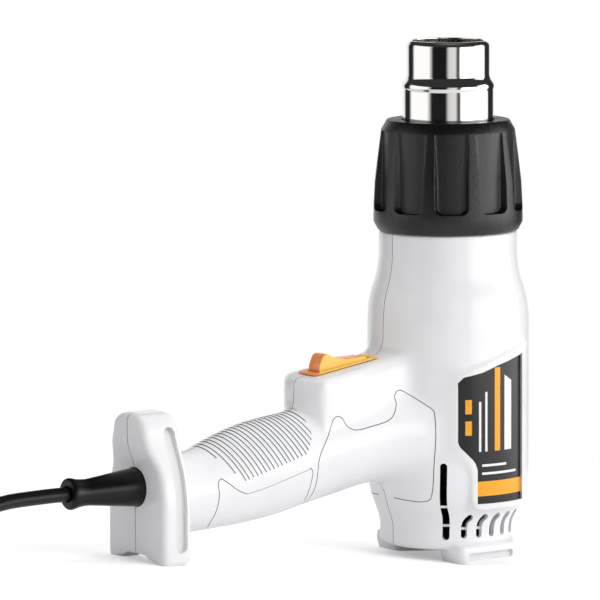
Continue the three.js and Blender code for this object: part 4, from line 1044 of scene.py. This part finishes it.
def makeCollar():
    perFlute = 2 * (len(collar["across"]) - 1 + collar["ribSteps"])
    steps = perFlute * collar["flutes"]
    low, high, corner = collar["low"], collar["high"], collar["corner"]
    rows = [high + step for step in collar["topRows"]] + [low + step for step in collar["lowRows"]]
    rows += [high - 1 - collar["rowPitch"] * i for i in range(collar["rowCount"])]
    rows += [low + corner * (1 - math.sin(math.radians(a))) for a in range(0, 91, 9)]
    outer = sorted((z, r) for r, z in collar["outer"])
    heights = sorted({round(z, 3) for z in rows + [z for r, z in collar["outer"]]}, reverse=True)
    skin = [(valueAt(outer, z), z) for z in heights]
    cap = spunShape([*collar["top"], *skin, *collar["under"]], steps, closed=True)
    for vert in cap.verts:
        fluted(vert, perFlute, steps)
    piece = newObject("heatGuardCollar", turnedBy(cap, collar["phase"] - 90, "Z"), [nylon])
    finishPiece(piece, "collar", ["nozzle_collar"], 32)
    print("collar", triangles(piece), "triangles")


makeCollar()

# Stainless steel tube, spun and mirror polished, with the faint rings the polishing leaves, 0.2 mm apart
polishedSteel = makeMaterial("polishedStainlessSteel", ["#e6e4e2"], (0.04, 0.11), (1.0, 3.0),
                             (1.0, 3.0, 0.01, 0.0001), {"Metallic": 1.0}, stretch=(60.0, 60.0, 5000.0))

# Steel that the heat of the element has turned straw and grey
heatedSteel = makeMaterial("heatTintedSteel", ["#aaa59d", "#cdc6bb"], (0.2, 0.34), (240.0, 4.0),
                           surface={"Metallic": 1.0})

# Steel outlet and the spoked guard in its mouth
outlet = {"profile": [(23.65, 95.6), (23.65, 97.1), (19.15, 97.1), (19.15, 198.2, 0.6), (19.5, 199.2, 0.5),
                      (19.35, 200.6, 0.8), (17.5, 203.3, 1.2), (17.5, 218.6, 2.3), (15.1, 218.6, 0.4),
                      (15.1, 217.7, 0.3), (16.6, 216.7, 0.6), (16.6, 202.9), (18.25, 199.9),
                      (18.25, 95.6)],
          "guardTop": 216.4, "guardThickness": 1.6, "guardRadius": 16.3, "rim": 2, "hub": 4, "spokes": 8,
          "spoke": 1.6}


def makeOutlet():
    tube = newObject("outletTube", spunShape(outlet["profile"], 160, closed=True), [polishedSteel])
    finishPiece(tube, "housing", ["outlet_nozzle"], 40)
    top, low = outlet["guardTop"], outlet["guardTop"] - outlet["guardThickness"]
    radius, rim = outlet["guardRadius"], outlet["rim"]
    ring = spunShape([(radius - rim, low), (radius, low), (radius, top), (radius - rim, top)], 96,
                     closed=True)
    guard = newObject("outletGuard", ring, [heatedSteel])
    hub = spunShape([(0, low), (outlet["hub"], low), (outlet["hub"], top), (0, top)], 48)
    combined(guard, newObject("hub", hub), "UNION")
    half = outlet["spoke"] / 2
    for i in range(outlet["spokes"] // 2):
        bar = boxShape((-radius + rim / 2, -half, low + 0.05), (radius - rim / 2, half, top - 0.05))
        combined(guard, newObject("spoke", turnedBy(bar, 360 * i / outlet["spokes"], "Z")), "UNION")
    softened(guard, 0.25, 2, 50)
    finishPiece(guard, "housing", ["outlet_guard"], 40)


makeOutlet()
print("outlet and guard made")

# Amber polycarbonate, moulded: light goes a little way in, so its edges glow; one copy is painted yellow as
# lit, the other orange as shade
amberDepth = {"IOR": 1.585, "Subsurface Weight": 0.35, "Subsurface Scale": 0.002,
              "Subsurface Radius": (1.0, 0.45, 0.1)}
ambers = [makeMaterial(name, colours, (0.18, 0.3), (120.0, 3.0), (1500.0, 2.0, 0.06, 0.0002), amberDepth)
          for name, colours in (("amberPolycarbonateLit", ["#fcc24e", "#fecd5e"]),
                                ("amberPolycarbonateShaded", ["#fb9355", "#fe9e60"]))]


def shadeAmber(obj, deep, cutAt=None):
    bm = bmesh.new()
    bm.from_mesh(obj.data)
    if cutAt is not None:
        sliced(bm, (cutAt, 0, 0), (1, 0, 0))
    # faces that deep picks out take the orange amber, painted shade; the rest take the yellow amber, painted
    # as lit
    for face in bm.faces:
        face.material_index = 1 if deep(face) else 0
    bm.to_mesh(obj.data)
    bm.free()


def makeBezel():
    half, wide, base = switch["length"] / 2, switch["width"] / 2, switch["foot"]
    blank = boxShape((-half, -wide, base), (half, wide, base + switch["rise"]), switch["corner"], (0, 0, 1))
    frameBody = newObject("switchFrame", blank, ambers)
    long, across = half - switch["end"], wide - switch["rim"]
    window = boxShape((-long, -across, -6), (long, across, 6), switch["windowCorner"], (0, 0, 1))
    combined(frameBody, newObject("window", window))
    softened(frameBody, 0.28, 3, 50)
    rear = -half + switch["end"]
    # the frame's rear end is painted orange as shade, the rest yellow as lit
    shadeAmber(frameBody, lambda face: face.calc_center_median().x < rear, rear)
    frameBody.data.transform(onSwitch)
    finishPiece(frameBody, "housing", ["switch_bezel"], 40)


def rockerOutline():
    half, deep = switch["halfLength"], switch["depth"]
    heel, skirt = half * switch["heelShare"], -deep * switch["skirtShare"]
    top = smoothLine([(half * share, up) for share, up in switch["top"]], 4)
    end = half - switch["endGap"]
    return [(-heel, -deep), (heel, -deep), (end, skirt), *top, (-end, skirt)]


def makeRocker():
    wide, span = switch["rockerWidth"] / 2, switch["pinSpan"] / 2
    rocker = newObject("switchRocker", sideSlab(rockerOutline(), -wide, wide), ambers)
    softened(rocker, 0.35, 3, 60)
    combined(rocker, newObject("pins", rodShape(0, switch["pivot"], switch["pin"], -span, span)), "UNION")
    # faces that don't face the sides are painted orange as shade, the sides yellow as lit
    shadeAmber(rocker, lambda face: abs(face.normal.y) < 0.6)
    rocker.data.transform(onSwitch)
    finishPiece(rocker, "rocker", ["switch_rocker"], 35)


makeBezel()
makeRocker()
print("switch made")

# Printed vinyl film under a clear gloss layer
filmGloss = {"IOR": 1.5, "Specular IOR Level": 0.35, "Coat Weight": 0.1, "Coat Roughness": 0.12}
films = [makeMaterial(name, colours, (0.24, 0.34), (700.0, 3.0), surface=filmGloss)
         for name, colours in (("blackPrintedVinyl", ["#161618", "#1b1b1d"]),
                               ("amberPrintedVinyl", ["#f5a31e", "#f8ad2c"]),
                               ("whitePrintedVinyl", ["#ececec", "#f3f3f2"]))]

# Printed fields of the sticker: film number and corners (across, up), each field convex
sticker = {"thickness": 0.3, "lift": 0.05, "strips": (-17, 15), "fields": [
    (1, [(-10.3, 30.2), (14.2, 30.2), (14.2, 36.4), (-10.3, 36.4)]),
    (2, [(-7.6, 39.2), (10.6, 39.2), (10.6, 40.2), (-7.6, 40.2)]),
    (2, [(-7.6, 42.6), (4.6, 42.6), (4.6, 43.6), (-7.6, 43.6)]),
    (2, [(3.6, 49), (7.6, 49), (7.6, 78), (3.6, 80.6)]),
    (1, [(-1.6, 49), (1.2, 49), (1.2, 84), (-1.6, 84)]),
    (2, [(-6.2, 49), (-5.2, 49), (-5.2, 74), (-6.2, 74)]),
    (2, [(-9, 49), (-8, 49), (-8, 70), (-9, 70)]),
    (1, [(-14.6, 56), (-12, 56), (-12, 62), (-14.6, 62)]),
    (1, [(-14.6, 65), (-12, 65), (-12, 71), (-14.6, 71)])]}


def makeSticker():
    bm = bmesh.new()
    wireOf(bm, label["outline"], lambda across, up: (across, 0, up), True)
    bmesh.ops.contextual_create(bm, geom=bm.edges[:])
    for film, corners in sticker["fields"]:
        for start, end in zip(corners, corners[1:] + corners[:1]):
            sliced(bm, (start[0], 0, start[1]), (end[1] - start[1], 0, start[0] - end[0]))
    for step in range(*sticker["strips"]):
        sliced(bm, (step + 0.37, 0, 0), (1, 0, 0))
    for face in bm.faces:
        middle = face.calc_center_median()
        for film, corners in sticker["fields"]:
            sides = [(b[0] - a[0]) * (middle.z - a[1]) - (b[1] - a[1]) * (middle.x - a[0])
                     for a, b in zip(corners, corners[1:] + corners[:1])]
            if min(sides) > 0:
                face.material_index = film
    radius = label["radius"] + sticker["lift"] + sticker["thickness"]
    for vert in bm.verts:  # wrapped round the barrel
        vert.co.y = -math.sqrt(radius ** 2 - vert.co.x ** 2)
    for face in bm.faces:
        if face.normal.y > 0:
            face.normal_flip()
    sheet = newObject("sideSticker", bm, films)
    if sheet.data.polygons[0].normal.y > 0:
        sheet.data.flip_normals()
    modified(sheet, "SOLIDIFY", thickness=sticker["thickness"], offset=-1)
    finishPiece(sheet, "housing", ["side_label"], 50)


makeSticker()
print("sticker made")


def screwShape(length):
    head, high, radius = screws["headRadius"], screws["headHeight"], screws["radius"]
    return spunShape([(0, -length), (radius * 0.4, -length), (radius, -length + 2.4), (radius, 0),
                      (head, 0, 0.2), (head, high * 0.55, 0.6), (head * 0.62, high, 0.7), (0, high)], 32)


def makeScrews():
    shoulder = screws["shoulder"] + 0.05
    rows = [(f"casingScrew{i + 1}", f"housing_screw_{i + 1}", x, z, shoulder, screws["length"], 1)
            for i, (x, z) in enumerate(screws["places"])]
    rows += [(f"clampScrew{i + 1}", f"clamp_screw_{i + 1}", x, z, screws["clampFace"],
              screws["clampLength"], -1) for i, (x, z) in enumerate(screws["clampPlaces"])]
    for name, node, x, z, seat, length, side in rows:
        screw = newObject(name, screwShape(length), [platedSteel])
        for turn in (20, 110):  # the cross in the head
            arm = turnedBy(boxShape((-1.5, -0.35, 1.1), (1.5, 0.35, 4)), turn, "Z")
            combined(screw, newObject("recess", arm))
        laid = Matrix.Rotation(math.radians(-90 * side), 4, "X")
        screw.data.transform(Matrix.Translation((x, seat, z)) @ laid)
        finishPiece(screw, "housing", [node], 35)


makeScrews()
print("screws made")

# What the casing holds: the solids stay as they are, each with its own finish. Node names, then colours,
# roughness, mottling per metre, metal or not, and grain: per metre and strength
innerFinishes = {
    "mouldedBlackNylon": (["switch_body"], ["#1b1b1d", "#242426"], (0.4, 0.5), 400, 0.0, 2600, 0.2),
    "pressedMotorCan": (["motor"], ["#8f9092", "#a9aaac"], (0.28, 0.42), 300, 1.0, 1500, 0.05),
    "groundShaftSteel": (["motor_shaft"], ["#a9aaac", "#bcbdbf"], (0.2, 0.3), 900, 1.0, 4000, 0.04),
    "mouldedFanNylon": (["fan", "motor_mount", "cord_clamp"], ["#34373a", "#404346"], (0.5, 0.62), 350, 0.0,
                        2200, 0.15),
    "etchedCircuitBoard": (["rectifier_board"], ["#245c3a", "#2f7048"], (0.45, 0.6), 600, 0.0, 1400, 0.2),
    "firedSteatite": (["heater_base"], ["#e3dccb", "#ece6d9"], (0.7, 0.85), 500, 0.0, 2400, 0.25),
    "pressedMica": (["heater_former", "mica_tube"], ["#a8976f", "#c6b78c"], (0.55, 0.75), 260, 0.0, 1200,
                    0.3),
    "oxidisedHeatingWire": (["heater_coil"], ["#6f6a64", "#918a82"], (0.4, 0.55), 800, 1.0, 3000, 0.2),
    "zincedCutoutCan": (["thermal_cutout"], ["#9fa0a2", "#b5b6b8"], (0.3, 0.42), 700, 1.0, 2500, 0.05),
    "brownLeadInsulation": (["live_lead", "heater_lead"], ["#6d4126", "#7d4c2e"], (0.42, 0.54), 700, 0.0,
                            2000, 0.1),
    "blueLeadInsulation": (["neutral_lead"], ["#264682", "#305394"], (0.42, 0.54), 700, 0.0, 2000, 0.1),
}


def dressInside():
    finishes = {"cord_tail": sheath}
    for name, (nodes, colours, roughness, mottling, metal, grain, strength) in innerFinishes.items():
        material = makeMaterial(name, colours, roughness, (mottling, 4.0), (grain, 2.0, strength, 0.0002),
                                {"Metallic": metal})
        finishes.update((node, material) for node in nodes)
    for node, material in finishes.items():
        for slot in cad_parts[node].material_slots:
            slot.material = material


dressInside()
print("inner parts finished")
